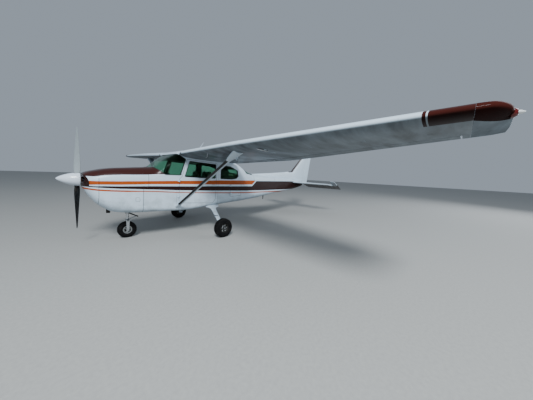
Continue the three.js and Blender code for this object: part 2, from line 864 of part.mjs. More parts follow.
function makeBlade() {
  return loft(
    bladeTable.map(([radius, chord, thickness, pitch]) => {
      const angle = THREE.MathUtils.degToRad(pitch);
      const chordwise = new THREE.Vector3(Math.sin(angle), -Math.cos(angle), 0);
      const face = new THREE.Vector3(Math.cos(angle), Math.sin(angle), 0);
      return bladeSection.map(([along, across]) =>
        at(propellerAft, 0, 0)
          .add(new THREE.Vector3(0, 0, radius))
          .addScaledVector(chordwise, along * chord)
          .addScaledVector(face, across * thickness)
      );
    })
  );
}

function turnedSolid(solid, angle) {
  const geometry = geometryOf(solid);
  geometry.rotateX(angle);
  geometry.translate(0, 0, thrustLineUp);
  return solidOf(geometry);
}

function makePropeller() {
  const hub = rod(at(hubBackAft, 0, 0), at(hubFrontAft, 0, 0), hubRadius, 24);
  const blade = makeBlade();
  const spin = geometryOf(blade);
  spin.rotateX(Math.PI);
  return turnedSolid(join(hub, blade, solidOf(spin)), -propellerLean);
}

const spinnerBaseAft = -936;
const spinnerRadius = 130;

function makeSpinner() {
  const length = spinnerBaseAft - spinnerTipAft;
  const steps = 7;
  const profile = [new THREE.Vector2(0, 0)];
  for (let step = 0; step <= steps; step++) {
    const share = step / steps;
    profile.push(new THREE.Vector2(spinnerRadius * (1 - share ** 1.6) ** 0.73, length * share));
  }
  const cone = new THREE.LatheGeometry(profile, 20);
  cone.rotateZ(-Math.PI / 2);
  cone.translate(-spinnerBaseAft, 0, 0);
  const [back, front] = [at(spinnerBaseAft + 10, 0, 0), at(hubFrontAft - fitGap, 0, 0)];
  const hubRoom = rod(back, front, hubRadius + fitGap, 24);
  const bladeRoom = block(-1030, -925, -50, 50, -200, 200);
  return turnedSolid(cut(solidOf(cone), hubRoom, bladeRoom), -propellerLean);
}

addPart('propeller', makePropeller(), barePolished);
addPart('spinner', makeSpinner(), whitePaint);
addJoint('propeller_spin', at(propellerAft, 0, thrustLineUp), forward);

// A plate with a hole, for a tie-down rope; it hangs from a surface at a height

function tieDownLug(aft, left, up) {
  const plate = prism(
    [
      [aft - 24, up],
      [aft - 24, up - 60],
      [aft - 12, up - 77],
      [aft + 12, up - 77],
      [aft + 24, up - 60],
      [aft + 24, up],
    ],
    left - 4,
    left + 4
  );
  return cut(plate, rod(at(aft, left - 10, up - 55), at(aft, left + 10, up - 55), 11, 12));
}

// Tail cone, fin with its dorsal fillet, rudder

const finRootUp = 1480;
const finTopUp = 2780;
const hornUp = 2660;
const finLeadAt = (up) => 5560 + (up - 1897) * 1.0;
const rudderTrailAt = (up) => 6800 + (up - 1500) * 0.13;
const rudderHingeAt = (up) => 6436 + (up - 1400) * 0.19;
const rudderBottomUp = 1405;
const hornLeadAft = 6517;
const tailThickness = 0.075;
const frontShares = [1, 0.7, 0.42, 0.2, 0.05, 0]; // of the fixed part, from its rear face to its nose
const hollowShares = [0.96, 0.7, 0.42, 0.2, 0.08]; // the same, of the room inside it

// A symmetric section between two shares of its chord, placed by a function of [aft, across]

function tailLoop(lead, trail, thickness, shares, place) {
  const chord = trail - lead;
  const point = (share, side) =>
    place(lead + share * chord, side * profileAt(share, thickness, 0).half * chord);
  const top = shares.map((share) => point(share, 1));
  const under = [...shares].reverse().map((share) => point(share, -1));
  return shares.at(-1) === 0 ? [...top, ...under.slice(1)] : [...top, ...under];
}

// A moving tail surface: round nose about the hinge, straight sides to the trailing edge

function tailSurfaceLoop(hinge, trail, radius, place) {
  const steps = 4;
  const nose = Array.from({ length: steps + 1 }, (_, step) => {
    const angle = Math.PI * (0.5 - step / steps);
    return place(hinge - radius * Math.cos(angle), radius * Math.sin(angle));
  });
  return [...nose, place(trail, -2), place(trail, 2)];
}

const finAcrossAt = (up) => (aft, across) => at(aft, across, up);
const rudderRadiusAt = (up) => 24 - 6 * ((up - 1400) / 1400);

function finLoop(up, skin = 0) {
  const [lead, trail] = [finLeadAt(up), rudderTrailAt(up)];
  const rear = (rudderHingeAt(up) - rudderRadiusAt(up) - runGap - lead) / (trail - lead);
  const shares = (skin > 0 ? hollowShares : frontShares).map((share) => share * rear);
  return tailLoop(lead, trail, tailThickness - (2 * skin) / (trail - lead), shares, finAcrossAt(up));
}

const dorsalTable = [
  // aft, top, half width at the base
  [3262, 1594, 46],
  [4300, 1716, 46],
  [5600, 1896, 44],
];

function makeFin() {
  const blade = loft([finRootUp, hornUp, finTopUp].map((up) => finLoop(up)));
  const dorsal = loft(
    dorsalTable.map(([aft, top, half]) => [
      at(aft, -half, finRootUp),
      at(aft, half, finRootUp),
      at(aft, half * 0.5, top - 30),
      at(aft, 0, top),
      at(aft, -half * 0.5, top - 30),
    ])
  );
  const hornRoom = block(hornLeadAft - 12, 7100, -100, 100, hornUp, 2900);
  const hollow = loft([finRootUp - 20, hornUp - 60].map((up) => finLoop(up, tailSkin)));
  return cut(join(blade, dorsal), hornRoom, hollow, hull(hullTable, 3100, 6500, -fitGap));
}

function makeRudder() {
  const along = [rudderBottomUp, hornUp, finTopUp];
  const leaf = loft(
    along.map((up) =>
      tailSurfaceLoop(rudderHingeAt(up), rudderTrailAt(up), rudderRadiusAt(up), finAcrossAt(up))
    )
  );
  const hornLoop = (up) => {
    const place = finAcrossAt(up);
    return [
      place(hornLeadAft, 9),
      place(hornLeadAft, -9),
      place(rudderHingeAt(up), -rudderRadiusAt(up)),
      place(rudderHingeAt(up) + 40, -15),
      place(rudderHingeAt(up) + 40, 15),
      place(rudderHingeAt(up), rudderRadiusAt(up)),
    ];
  };
  return join(leaf, loft([hornUp + 12, finTopUp].map(hornLoop)));
}

const rudderPoint = (up) => at(rudderHingeAt(up), 0, up);
const rudderAxis = new THREE.Vector3().subVectors(rudderPoint(2600), rudderPoint(1500)).normalize();
const rudderAhead = new THREE.Vector3().crossVectors(leftward, rudderAxis).normalize();

let fin = makeFin();
let rudder = makeRudder();
for (const up of [1720, 2120, 2520]) {
  const reach = rudderRadiusAt(up) + runGap + 12;
  const parts = hingeParts(rudderPoint(up), rudderAxis, rudderAhead, reach);
  fin = join(fin, parts.eye);
  rudder = join(cut(rudder, parts.slot), parts.pin);
}
addPart('fin', fin, whitePaint);
addPart('rudder', rudder, whitePaint);
addJoint('rudder_hinge', rudderPoint(1500), rudderAxis);

// Stabiliser, elevator halves with horns, trim tab

const hornInner = 1568;
const stabOuter = hornInner - 8;
const stabLeadAt = (left) =>
  stabRootLeadAft +
  ((Math.abs(left) - stabRootLeft) * (stabTipLeadAft - stabRootLeadAft)) / (stabHalfSpan - stabRootLeft);
const elevatorRadiusAt = (left) => 25 - 6 * (Math.abs(left) / stabHalfSpan);
const stabPlace = (left) => (aft, across) => at(aft, left, stabUp + across);

function stabLoop(left, grow = 0, fractions = frontShares) {
  const lead = stabLeadAt(Math.max(Math.abs(left), stabRootLeft)) - Math.max(grow, 0);
  const chord = elevatorTrailAft - lead;
  const thickness = tailThickness + (2 * grow) / chord;
  const rear = (elevatorHingeAft - elevatorRadiusAt(left) - runGap + grow - lead) / chord;
  const shares = fractions.map((share) => share * rear);
  return tailLoop(lead, elevatorTrailAft, thickness, shares, stabPlace(left));
}

const acrossStab = (outer) => [-outer, -stabRootLeft, stabRootLeft, outer];

function makeStabiliser() {
  const skin = loft(acrossStab(stabOuter).map((left) => stabLoop(left)));
  const hollow = loft(acrossStab(stabOuter - 12).map((left) => stabLoop(left, -tailSkin, hollowShares)));
  const way = block(5800, 5860, -30, 30, stabUp - 80, stabUp); // opens the hollow inside the tail cone
  return cut(skin, hollow, way);
}

let stabiliser = makeStabiliser();
const stabRoom = loft([-400, -stabRootLeft, stabRootLeft, 400].map((left) => stabLoop(left, 1)));

const elevatorInner = 104;
const elevatorHingesLeft = [300, 860, 1420];

function makeElevator() {
  const leaf = loft(
    [elevatorInner, stabHalfSpan].map((left) =>
      tailSurfaceLoop(elevatorHingeAft, elevatorTrailAft, elevatorRadiusAt(left), stabPlace(left))
    )
  );
  const horn = loft(
    [
      [hornInner, 5985],
      [1690, 6015],
      [stabHalfSpan, 6110],
    ].map(([left, lead]) =>
      tailLoop(lead, elevatorTrailAft, 0.062, [0.52, 0.3, 0.12, 0.03, 0], stabPlace(left))
    )
  );
  const rudderRoom = slab(
    [
      [6290, 60],
      [6760, 60],
      [6760, 232],
      [6340, 100],
    ],
    1300,
    1600
  );
  return cut(join(leaf, horn), rudderRoom);
}

let elevator = makeElevator();
for (const left of elevatorHingesLeft) {
  const reach = elevatorRadiusAt(left) + runGap + 12;
  const parts = hingeParts(at(elevatorHingeAft, left, stabUp), leftward, forward, reach);
  stabiliser = join(stabiliser, parts.eye, mirrored(parts.eye));
  elevator = join(cut(elevator, parts.slot), parts.pin);
}

const tabHingeAft = 6628;
const tabInner = -960;
const tabOuter = -260;
const tabRadius = 7.5;
const tabScale = 0.42;

function makeTab() {
  const room = block(tabHingeAft - tabRadius - 6, 6800, tabInner - 6, tabOuter + 6, 1350, 1550);
  let leaf = loft(
    [tabInner, tabOuter].map((left) =>
      tailSurfaceLoop(tabHingeAft, elevatorTrailAft, tabRadius, stabPlace(left))
    )
  );
  let carrier = cut(mirrored(elevator), room);
  for (const left of [-800, -420]) {
    const parts = hingeParts(at(tabHingeAft, left, stabUp), leftward, forward, tabRadius + 12, tabScale);
    carrier = join(carrier, parts.eye);
    leaf = join(cut(leaf, parts.slot), parts.pin);
  }
  return { carrier, leaf };
}

const { carrier: rightElevator, leaf: trimTab } = makeTab();

// The elevator and its tab hang down about the elevator's hinge

const hinge = new THREE.Group();
hinge.position.copy(at(elevatorHingeAft, 0, stabUp));
hinge.rotation.y = -elevatorDroop;
const drooped = new THREE.Group();
drooped.position.copy(hinge.position).negate();
hinge.add(drooped);
airframe.add(hinge);

const tailShell = cut(
  hull(hullTable, tailJointAft + fitGap, tailConeEndAft),
  hull(hullTable, tailJointAft - 10, tailConeEndAft - 30, tailWall),
  stabRoom
);
const tailCone = join(tailShell, tieDownLug(6240, 0, 1320));

addPart('tail_cone', tailCone, whitePaint);
addPart('stabiliser', stabiliser, whitePaint);
addPart('elevator_left', elevator, whitePaint, drooped);
addPart('elevator_right', rightElevator, whitePaint, drooped);
addPart('trim_tab', trimTab, whitePaint, drooped);
addJoint('elevator_hinge', at(elevatorHingeAft, 0, stabUp), leftward);
drooped.updateWorldMatrix(true, false);
const tabPoint = at(tabHingeAft, 0, stabUp).sub(hinge.position);
tabPoint.applyEuler(hinge.rotation).add(hinge.position);
addJoint('trim_tab_hinge', tabPoint, leftward);

// Wing struts with a cuff at each end

const strutFoot = at(684, 548, 652);
const strutHead = at(940, 2400, 1868);
const strutTable = [
  // share of length, chord, thickness
  [0, 128, 66],
  [0.03, 122, 60],
  [0.055, 98, 42],
  [0.865, 98, 42],
  [0.89, 140, 62],
  [1, 226, 96],
];
const strutSection = [
  // share of chord from the middle, share of thickness
  [0.5, 0],
  [0.4, 0.32],
  [0.15, 0.5],
  [-0.2, 0.36],
  [-0.5, 0],
  [-0.2, -0.36],
  [0.15, -0.5],
  [0.4, -0.32],
];

// What lies under the wing is cut back to just below it

const lowered = (point) => point.clone().setZ(point.z - fitGap);
const wingRoom = loft(stationsLeft.map((left) => wingLoop(left).map(lowered)));

function makeStrut() {
  const along = new THREE.Vector3().subVectors(strutHead, strutFoot);
  const side = new THREE.Vector3().crossVectors(along, forward).normalize();
  const bar = loft(
    strutTable.map(([share, chord, thickness]) =>
      strutSection.map(([ahead, out]) =>
        strutFoot
          .clone()
          .addScaledVector(along, share)
          .addScaledVector(forward, ahead * chord)
          .addScaledVector(side, out * thickness)
      )
    )
  );
  return cut(join(bar, tieDownLug(985, 2290, 1795)), hull(hullTable, 400, 1000, -fitGap), wingRoom);
}

const strut = makeStrut();
addPart('strut_left', strut, whitePaint);
addPart('strut_right', mirrored(strut), whitePaint);

// Main gear: sprung leg with root fairing, step, axle and brake

const legTop = at(1632, 425, 662);
const legEnd = at(mainAxleAft + 47, 1150, 238);
const legTable = [
  // share of length, width fore and aft, thickness
  [0, 400, 80],
  [0.12, 390, 74],
  [0.16, 240, 64],
  [0.22, 150, 54],
  [0.3, 132, 48],
  [1, 100, 38],
];

function makeMainLeg() {
  const along = new THREE.Vector3().subVectors(legEnd, legTop);
  const side = new THREE.Vector3().crossVectors(along, forward).normalize();
  const leg = loft(
    legTable.map(([share, width, thickness]) =>
      strutSection.map(([ahead, out]) =>
        legTop
          .clone()
          .addScaledVector(along, share)
          .addScaledVector(forward, ahead * width)
          .addScaledVector(side, out * thickness)
      )
    )
  );
  const knuckle = block(mainAxleAft - 44, mainAxleAft + 60, 1118, 1160, 190, 272);
  const axleUp = mainTyreRadius;
  const axle = rod(at(mainAxleAft, 1120, axleUp), at(mainAxleAft, mainWheelLeft + 72, axleUp), 20, 16);
  const caliper = block(mainAxleAft - 96, mainAxleAft - 40, 1150, 1184, 200, 250);
  const step = block(1504, 1579, 800, 880, 434, 440);
  return cut(join(leg, knuckle, axle, caliper, step), hull(hullTable, 1000, 2200, -fitGap));
}

const mainLeg = makeMainLeg();
addPart('main_leg_left', mainLeg, whitePaint);
addPart('main_leg_right', mirrored(mainLeg), whitePaint);

// Wheels: tyre and rim share their number of sides, so that they nest

const wheelSides = 24;

function tyreProfile(radius, width, inner) {
  const half = width / 2;
  const side = [
    [inner, 0.72 * half],
    [inner + 0.4 * (radius - inner), half],
    [inner + 0.78 * (radius - inner), 0.86 * half],
    [radius - 2, 0.45 * half],
  ];
  const other = side.map(([r, offset]) => [r, -offset]).reverse();
  return [...side, [radius, 0], ...other, side[0]];
}

function rimProfile(inner, width, bore) {
  const half = 0.35 * width;
  return [
    [bore, -half],
    [bore + 18, -half],
    [inner - 20, -half * 0.4],
    [inner - 8, -half - 6],
    [inner - fitGap, -half - 6],
    [inner - fitGap, half + 6],
    [inner - 8, half + 6],
    [inner - 20, half * 0.4],
    [bore + 18, half],
    [bore, half],
    [bore, -half],
  ];
}

function makeWheel(radius, width, inner, axleRadius, centre) {
  const turn = (profile) => {
    const points = profile.map(([r, offset]) => new THREE.Vector2(r, offset));
    const ring = new THREE.LatheGeometry(points, wheelSides);
    ring.rotateY(parkAngle);
    ring.translate(centre.x, centre.y, centre.z);
    return solidOf(ring);
  };
  return {
    tyre: turn(tyreProfile(radius, width, inner)),
    rim: turn(rimProfile(inner, width, axleRadius + pinPlay)),
  };
}

const mainCentre = at(mainAxleAft, mainWheelLeft, mainTyreRadius);
const mainWheel = makeWheel(mainTyreRadius, mainTyreWidth, 84, 20, mainCentre);
addPart('main_tyre_left', mainWheel.tyre, tyreRubber);
addPart('main_tyre_right', mirrored(mainWheel.tyre), tyreRubber);
addPart('main_rim_left', mainWheel.rim, wheelAlloy);
addPart('main_rim_right', mirrored(mainWheel.rim), wheelAlloy);
addJoint('main_wheel_left_spin', mainCentre, leftward);
addJoint('main_wheel_right_spin', mirrorPoint(mainCentre), leftward);

const noseAxleUp = levelUp(noseAxleAft, noseTyreRadius);
const noseCentre = at(noseAxleAft, 0, noseAxleUp);
const noseWheel = makeWheel(noseTyreRadius, noseTyreWidth, 66, 14, noseCentre);
addPart('nose_tyre', noseWheel.tyre, tyreRubber);
addPart('nose_rim', noseWheel.rim, wheelAlloy);
addJoint('nose_wheel_spin', noseCentre, leftward);

// Nose leg: outer cylinder held at the firewall, turning piston with fork and torque links

const cylinderRadius = 37;
const cylinderLowUp = 478;
const cylinderHighUp = 860;
const pistonRadius = 26;
const pistonSides = 16;

function makeNoseLeg() {
  const tube = (from, to, radius) =>
    rod(at(noseAxleAft, 0, from), at(noseAxleAft, 0, to), radius, pistonSides);
  const cylinder = tube(cylinderLowUp, cylinderHighUp, cylinderRadius);
  const boreRadius = (pistonRadius + pinPlay) / Math.cos(Math.PI / pistonSides); // to its corners
  const bore = tube(cylinderLowUp - 20, cylinderLowUp + 120, boreRadius);
  const bracket = (up) => block(noseAxleAft - 46, -fitGap, -48, 48, up, up + 34);
  return cut(join(cylinder, bracket(655), bracket(815)), bore);
}

function makeNoseFork() {
  const tube = (from, to, radius) =>
    rod(at(noseAxleAft, 0, from), at(noseAxleAft, 0, to), radius, pistonSides);
  const tyreTopUp = noseAxleUp + noseTyreRadius;
  const piston = tube(tyreTopUp + 20, cylinderLowUp + 110, pistonRadius);
  const collar = tube(cylinderLowUp - 30, cylinderLowUp - fitGap, cylinderRadius + 5);
  const crown = block(noseAxleAft - 34, noseAxleAft + 34, -86, 86, tyreTopUp + 10, tyreTopUp + 44);
  const legs = [1, -1].map((side) =>
    loft(
      [
        [tyreTopUp + 30, 30],
        [noseAxleUp - 24, 22],
      ].map(([up, half]) => [
        at(noseAxleAft - half, side * 86, up),
        at(noseAxleAft + half, side * 86, up),
        at(noseAxleAft + half, side * 71, up),
        at(noseAxleAft - half, side * 71, up),
      ])
    )
  );
  const axle = rod(at(noseAxleAft, -80, noseAxleUp), at(noseAxleAft, 80, noseAxleUp), 14, 16);
  const knee = [noseAxleAft + 190, tyreTopUp + 104];
  const link = (aft, up) =>
    prism(
      [
        [aft, up - 13],
        [knee[0] - 6, knee[1] - 9],
        [knee[0] - 6, knee[1] + 9],
        [aft, up + 13],
      ],
      -22,
      22
    );
  const kneePin = rod(at(knee[0], -30, knee[1]), at(knee[0], 30, knee[1]), 13, 12);
  return join(
    piston, collar, crown, ...legs, axle,
    link(noseAxleAft + 20, cylinderLowUp - 15),
    link(noseAxleAft + 20, tyreTopUp + 30),
    kneePin
  );
}

addPart('nose_leg', makeNoseLeg(), whitePaint);
addPart('nose_fork', makeNoseFork(), barePolished);
addJoint('nose_steering', at(noseAxleAft, 0, 0), upward);

// Inside the cabin: floor, panel, control wheels, seats

const floorUp = 768;
const inside = hull(hullTable, cabinWall + 5, tailJointAft - 25, cabinWall + fitGap);
const floor = inside.intersect(block(60, 3100, -700, 700, floorUp - 30, floorUp));
addPart('cabin_floor', floor, floorCarpet);

const dashAft = [340, 470];
const dash = inside.intersect(
  join(
    block(dashAft[0], dashAft[1], -700, 700, 1030, 1392),
    block(dashAft[0] - 40, dashAft[1] + 40, -700, 700, 1376, 1400)
  )
);
addPart('instrument_panel', dash, blackPlastic);

function makeControlWheel(left) {
  const up = 1190;
  const column = rod(at(dashAft[1] + fitGap, left, up), at(640, left, up), 12, 8);
  const bar = rod(at(640, left - 120, up), at(640, left + 120, up), 11, 8);
  const grip = (side) =>
    rod(at(640, left + side * 120, up - 12), at(625, left + side * 135, up + 90), 14, 8);
  return join(column, bar, grip(1), grip(-1));
}

const controlLeft = 245;
addPart('control_wheel_left', makeControlWheel(controlLeft), blackPlastic);
addPart('control_wheel_right', makeControlWheel(-controlLeft), blackPlastic);

// A seat outline in side view, on its pedestal, pushed across its width

function makeSeat(front, leftFrom, leftTo, depth, cushionUp, backUp) {
  const back = front + depth;
  const cushion = prism(
    [
      [front, cushionUp - 110],
      [back, cushionUp - 130],
      [back + 30, cushionUp],
      [back + 150, backUp],
      [back + 60, backUp],
      [back - 70, cushionUp + 30],
      [front + 20, cushionUp + 30],
      [front - 10, cushionUp - 20],
    ],
    leftFrom,
    leftTo
  );
  const legs = block(front + 60, back - 60, leftFrom + 60, leftTo - 60, floorUp + fitGap, cushionUp - 100);
  return join(cushion, legs);
}

addPart('front_seat_left', makeSeat(1010, 50, 490, 440, 1030, 1560), seatCloth);
addPart('front_seat_right', makeSeat(1010, -490, -50, 440, 1030, 1560), seatCloth);
addPart('rear_seat', makeSeat(1910, -430, 430, 420, 990, 1440), seatCloth);

// Lamps, antenna and pitot tube

function dome(centre, size, away) {
  const ball = new THREE.SphereGeometry(1, 10, 6);
  ball.scale(...size);
  ball.translate(centre.x, centre.y, centre.z);
  const keep = new THREE.BoxGeometry(400, 400, 400);
  const offset = away.clone().multiplyScalar(200).add(centre);
  keep.translate(offset.x, offset.y, offset.z);
  return solidOf(ball).intersect(solidOf(keep));
}

addPart('nav_light_left', tipLamp, redLens);
addPart('nav_light_right', mirrored(tipLamp), greenLens);

const beaconAft = 6440;
const beacon = dome(at(beaconAft, 0, finTopUp + fitGap), [34, 10, 70], upward);
addPart('beacon', beacon, redLens);

const antenna = rod(at(1344, 0, 1950), at(1560, 0, 2330), 9, 8, 4);
addPart('radio_antenna', cut(antenna, hull(hullTable, 1000, 2000, -fitGap)), whitePaint);

const pitotLeft = 3000;
const pitotUp = 1848;
const pitotMast = block(940, 1000, pitotLeft - 6, pitotLeft + 6, pitotUp - 6, 1940);
const pitotTube = rod(at(1000, pitotLeft, pitotUp), at(800, pitotLeft, pitotUp), 11, 10);
addPart('pitot_tube', cut(join(pitotTube, pitotMast), wingRoom), barePolished);

// The origin comes under the middle of the bounding box

const middle = new THREE.Box3().setFromObject(aircraft, true).getCenter(new THREE.Vector3());
aircraft.position.x = -middle.x;
aircraft.updateMatrixWorld(true);

aircraft.userData.joints = joints;

export default aircraft;
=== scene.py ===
# %% [markdown]
# # A light aircraft at rest on its wheels
# The model that was built in CAD is loaded as a fixed frame. Each step below builds one piece of
# the real aircraft around it, finer than the CAD solid, and says which solid it stands for.
# Everything is in metres, with +X ahead, +Y towards the left wing and +Z up.

# %% Load the frame
import math
import random

import bmesh
import bpy
import numpy as np
from mathutils import Matrix, Vector


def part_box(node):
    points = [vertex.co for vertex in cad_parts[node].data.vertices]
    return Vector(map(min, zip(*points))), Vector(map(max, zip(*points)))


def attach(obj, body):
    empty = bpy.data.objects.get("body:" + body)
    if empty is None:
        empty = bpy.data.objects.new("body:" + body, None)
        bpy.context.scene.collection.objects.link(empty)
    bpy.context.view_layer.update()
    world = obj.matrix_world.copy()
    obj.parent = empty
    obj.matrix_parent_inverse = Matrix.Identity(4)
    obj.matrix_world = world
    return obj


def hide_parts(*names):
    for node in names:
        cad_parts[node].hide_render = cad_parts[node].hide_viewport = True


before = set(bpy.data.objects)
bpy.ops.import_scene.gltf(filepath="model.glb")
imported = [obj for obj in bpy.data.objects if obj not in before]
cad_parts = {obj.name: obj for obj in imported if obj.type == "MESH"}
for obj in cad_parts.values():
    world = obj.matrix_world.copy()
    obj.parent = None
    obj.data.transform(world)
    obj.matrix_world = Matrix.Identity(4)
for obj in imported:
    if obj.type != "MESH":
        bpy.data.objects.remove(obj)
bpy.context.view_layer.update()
scene = bpy.context.scene
print("nodes in the frame:", len(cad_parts))

# %% [markdown]
# An aircraft is drawn by stations: how far aft of the firewall, how far left of the centre line,
# how high. The drawings are level, but the aircraft parks with its nose a little up, so each
# station is turned about the main axle on its way into the scene. The tables below are in
# millimetres, as a maker's drawing would be.

# %% From stations to the scene
PARK_ANGLE = math.radians(3)
MAIN_AXLE_AFT = 1478
MAIN_AXLE_UP = 222.5
tyre_low, tyre_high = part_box("main_tyre_left")
MAIN_AXLE = (tyre_low + tyre_high) / 2


def at(aft, left, up):
    ahead = (MAIN_AXLE_AFT - aft) / 1000
    above = (up - MAIN_AXLE_UP) / 1000
    return Vector(
        (
            MAIN_AXLE.x + ahead * math.cos(PARK_ANGLE) - above * math.sin(PARK_ANGLE),
            left / 1000,
            MAIN_AXLE.z + ahead * math.sin(PARK_ANGLE) + above * math.cos(PARK_ANGLE),
        )
    )


FORWARD = (at(-1000, 0, 0) - at(0, 0, 0)).normalized()
UPWARD = (at(0, 0, 1000) - at(0, 0, 0)).normalized()
LEFTWARD = Vector((0, 1, 0))
print("main axle at", [round(x, 4) for x in MAIN_AXLE])

# %% [markdown]
# The camera stands where the photographer stood: under the left wing, ahead of its strut, with a
# very wide lens that leans a little. A wide lens makes the near wing tip as long as the rest of
# the aircraft.

# %% Camera
PHOTO_SIZE = (533, 400)
FOCAL_PIXELS = 200.05
CAMERA_PLACE = Vector((4.0890, 5.195, 1.5213))
YAW, PITCH, ROLL = (math.radians(angle) for angle in (46.01, -7.37, 2.45))


def photo_camera():
    data = bpy.data.cameras.new("photo_camera")
    data.sensor_width = 36
    data.lens = 36 * FOCAL_PIXELS / PHOTO_SIZE[0]
    data.clip_end = 500
    camera = bpy.data.objects.new("photo_camera", data)
    scene.collection.objects.link(camera)
    look = Vector((-math.sin(YAW) * math.cos(PITCH), -math.cos(YAW) * math.cos(PITCH), math.sin(PITCH)))
    right = look.cross(Vector((0, 0, 1))).normalized()
    over = right.cross(look)
    level_right = right * math.cos(ROLL) + over * math.sin(ROLL)
    level_over = -right * math.sin(ROLL) + over * math.cos(ROLL)
    turn = Matrix((level_right, level_over, -look)).transposed()
    camera.matrix_world = Matrix.Translation(CAMERA_PLACE) @ turn.to_4x4()
    return camera


scene.camera = photo_camera()
print("lens", round(scene.camera.data.lens, 2), "mm")

# %% [markdown]
# ## Meshes
# Most of an aircraft is a skin stretched over frames, so most pieces here are lofts: rows of
# points joined into faces. Windows, doors and inlets are then cut with Blender's exact boolean.
# The result is stored as a plain mesh, so nothing is left to compute later.

# %% Lofts and other first shapes
SHARP = math.radians(34)


def mesh_of(name, points, faces, marks=None, sharp=SHARP):
    mesh = bpy.data.meshes.new(name)
    mesh.from_pydata([tuple(p) for p in points], [], faces)
    work = bmesh.new()
    work.from_mesh(mesh)
    if marks is not None:
        work.faces.ensure_lookup_table()
        for face, mark in zip(work.faces, marks):
            face.material_index = mark
    bmesh.ops.recalc_face_normals(work, faces=work.faces)
    work.to_mesh(mesh)
    work.free()
    return smooth(mesh, sharp)


def smooth(mesh, sharp=SHARP):
    mesh.polygons.foreach_set("use_smooth", [True] * len(mesh.polygons))
    mesh.set_sharp_from_angle(angle=sharp)
    return mesh


def loft(name, loops, marks=None, sharp=SHARP):
    """A closed skin through rows of points, with a face over the first row and the last."""
    count = len(loops[0])
    points = [point for loop in loops for point in loop]
    faces = []
    for row in range(len(loops) - 1):
        for i in range(count):
            a = row * count + i
            b = row * count + (i + 1) % count
            faces.append((a, b, b + count, a + count))
    last = (len(loops) - 1) * count
    faces += [tuple(range(count))[::-1], tuple(range(last, last + count))]
    return mesh_of(name, points, faces, marks, sharp)


def prism(name, outline, left_from, left_to):
    """A side view outline of (aft, up), pushed across the aircraft."""
    return loft(name, [[at(aft, left, up) for aft, up in outline] for left in (left_from, left_to)])


def oblong(aft_from, aft_to, up_from, up_to):
    """The four corners of an upright rectangle, as (aft, up)."""
    return [(aft_from, up_from), (aft_to, up_from), (aft_to, up_to), (aft_from, up_to)]


def block(name, aft, left, up):
    """A box between two stations on each of the three ways."""
    return prism(name, oblong(*aft, *up), *left)


def round_turns(count):
    """The angles of so many points evenly round a circle."""
    return [2 * math.pi * i / count for i in range(count)]


def half_turns(steps, start=0.0):
    """The angles of half a circle, with its first and its last."""
    return [start + math.pi * k / steps for k in range(steps + 1)]


def side_of(along, hint=None):
    guide = hint or (Vector((0, 0, 1)) if abs(along.z) < 0.9 else Vector((1, 0, 0)))
    first = along.cross(guide).normalized()
    return first, along.cross(first).normalized()


def bar(name, start, end, radius, radius_to=None, sides=24):
    along = (end - start).normalized()
    one, two = side_of(along)
    radii = (radius / 1000, (radius if radius_to is None else radius_to) / 1000)
    loops = [
        [
            centre + (one * math.cos(turn) + two * math.sin(turn)) * r
            for turn in round_turns(sides)
        ]
        for centre, r in zip((start, end), radii)
    ]
    return loft(name, loops)


def turned(name, centre, axis, profile, sides=64):
    """A profile of (radius, offset along the axis) in millimetres, turned about an axis."""
    one, two = side_of(axis, FORWARD if abs(axis.y) > 0.9 else None)
    points, faces = [], []
    rows = len(profile)
    for i in range(sides):
        turn = 2 * math.pi * i / sides
        out = one * math.cos(turn) + two * math.sin(turn)
        points += [centre + out * (r / 1000) + axis * (offset / 1000) for r, offset in profile]
    for i in range(sides):
        j = (i + 1) % sides
        for k in range(rows):
            m = (k + 1) % rows
            faces.append((i * rows + k, j * rows + k, j * rows + m, i * rows + m))
    work = bmesh.new()
    made = [work.verts.new(p) for p in points]
    for face in faces:
        work.faces.new([made[v] for v in face])
    bmesh.ops.remove_doubles(work, verts=work.verts, dist=1e-6)
    bmesh.ops.dissolve_degenerate(work, edges=work.edges, dist=1e-7)
    bmesh.ops.recalc_face_normals(work, faces=work.faces)
    mesh = bpy.data.meshes.new(name)
    work.to_mesh(mesh)
    work.free()
    return smooth(mesh)


# %% Joining, cutting and mirroring meshes
def coated(mesh, *materials, mark=0):
    """Gives a mesh its material slots; mark sends all faces to one slot, None leaves them."""
    marks = [p.material_index for p in mesh.polygons] if mark is None else [mark] * len(mesh.polygons)
    mesh.materials.clear()
    for material in materials:
        mesh.materials.append(material)
    mesh.polygons.foreach_set("material_index", marks)
    return mesh


def bound(name, *meshes):
    """One mesh that holds several, with their materials."""
    work = bmesh.new()
    materials = []
    for mesh in meshes:
        first = len(work.faces)
        work.from_mesh(mesh)
        work.faces.ensure_lookup_table()
        own = [m for m in mesh.materials]
        places = []
        for material in own:
            if material not in materials:
                materials.append(material)
            places.append(materials.index(material))
        for face in list(work.faces)[first:]:
            if places:
                face.material_index = places[min(face.material_index, len(places) - 1)]
    result = bpy.data.meshes.new(name)
    work.to_mesh(result)
    work.free()
    for material in materials:
        result.materials.append(material)
    return result


def carved(mesh, operation, *tools):
    """The mesh after exact booleans with each tool in turn."""
    body = bpy.data.objects.new("carving", mesh)
    scene.collection.objects.link(body)
    helpers = []
    for tool in tools:
        helper = bpy.data.objects.new("tool", tool)
        scene.collection.objects.link(helper)
        helpers.append(helper)
        step = body.modifiers.new("cut", "BOOLEAN")
        step.operation = operation
        step.solver = "EXACT"
        step.material_mode = "TRANSFER"
        step.object = helper
    seen = bpy.context.evaluated_depsgraph_get()
    result = bpy.data.meshes.new_from_object(body.evaluated_get(seen))
    result.name = mesh.name
    for item in [body, *helpers]:
        bpy.data.objects.remove(item)
    return smooth(result)


def cut(mesh, *tools):
    return carved(mesh, "DIFFERENCE", *tools)


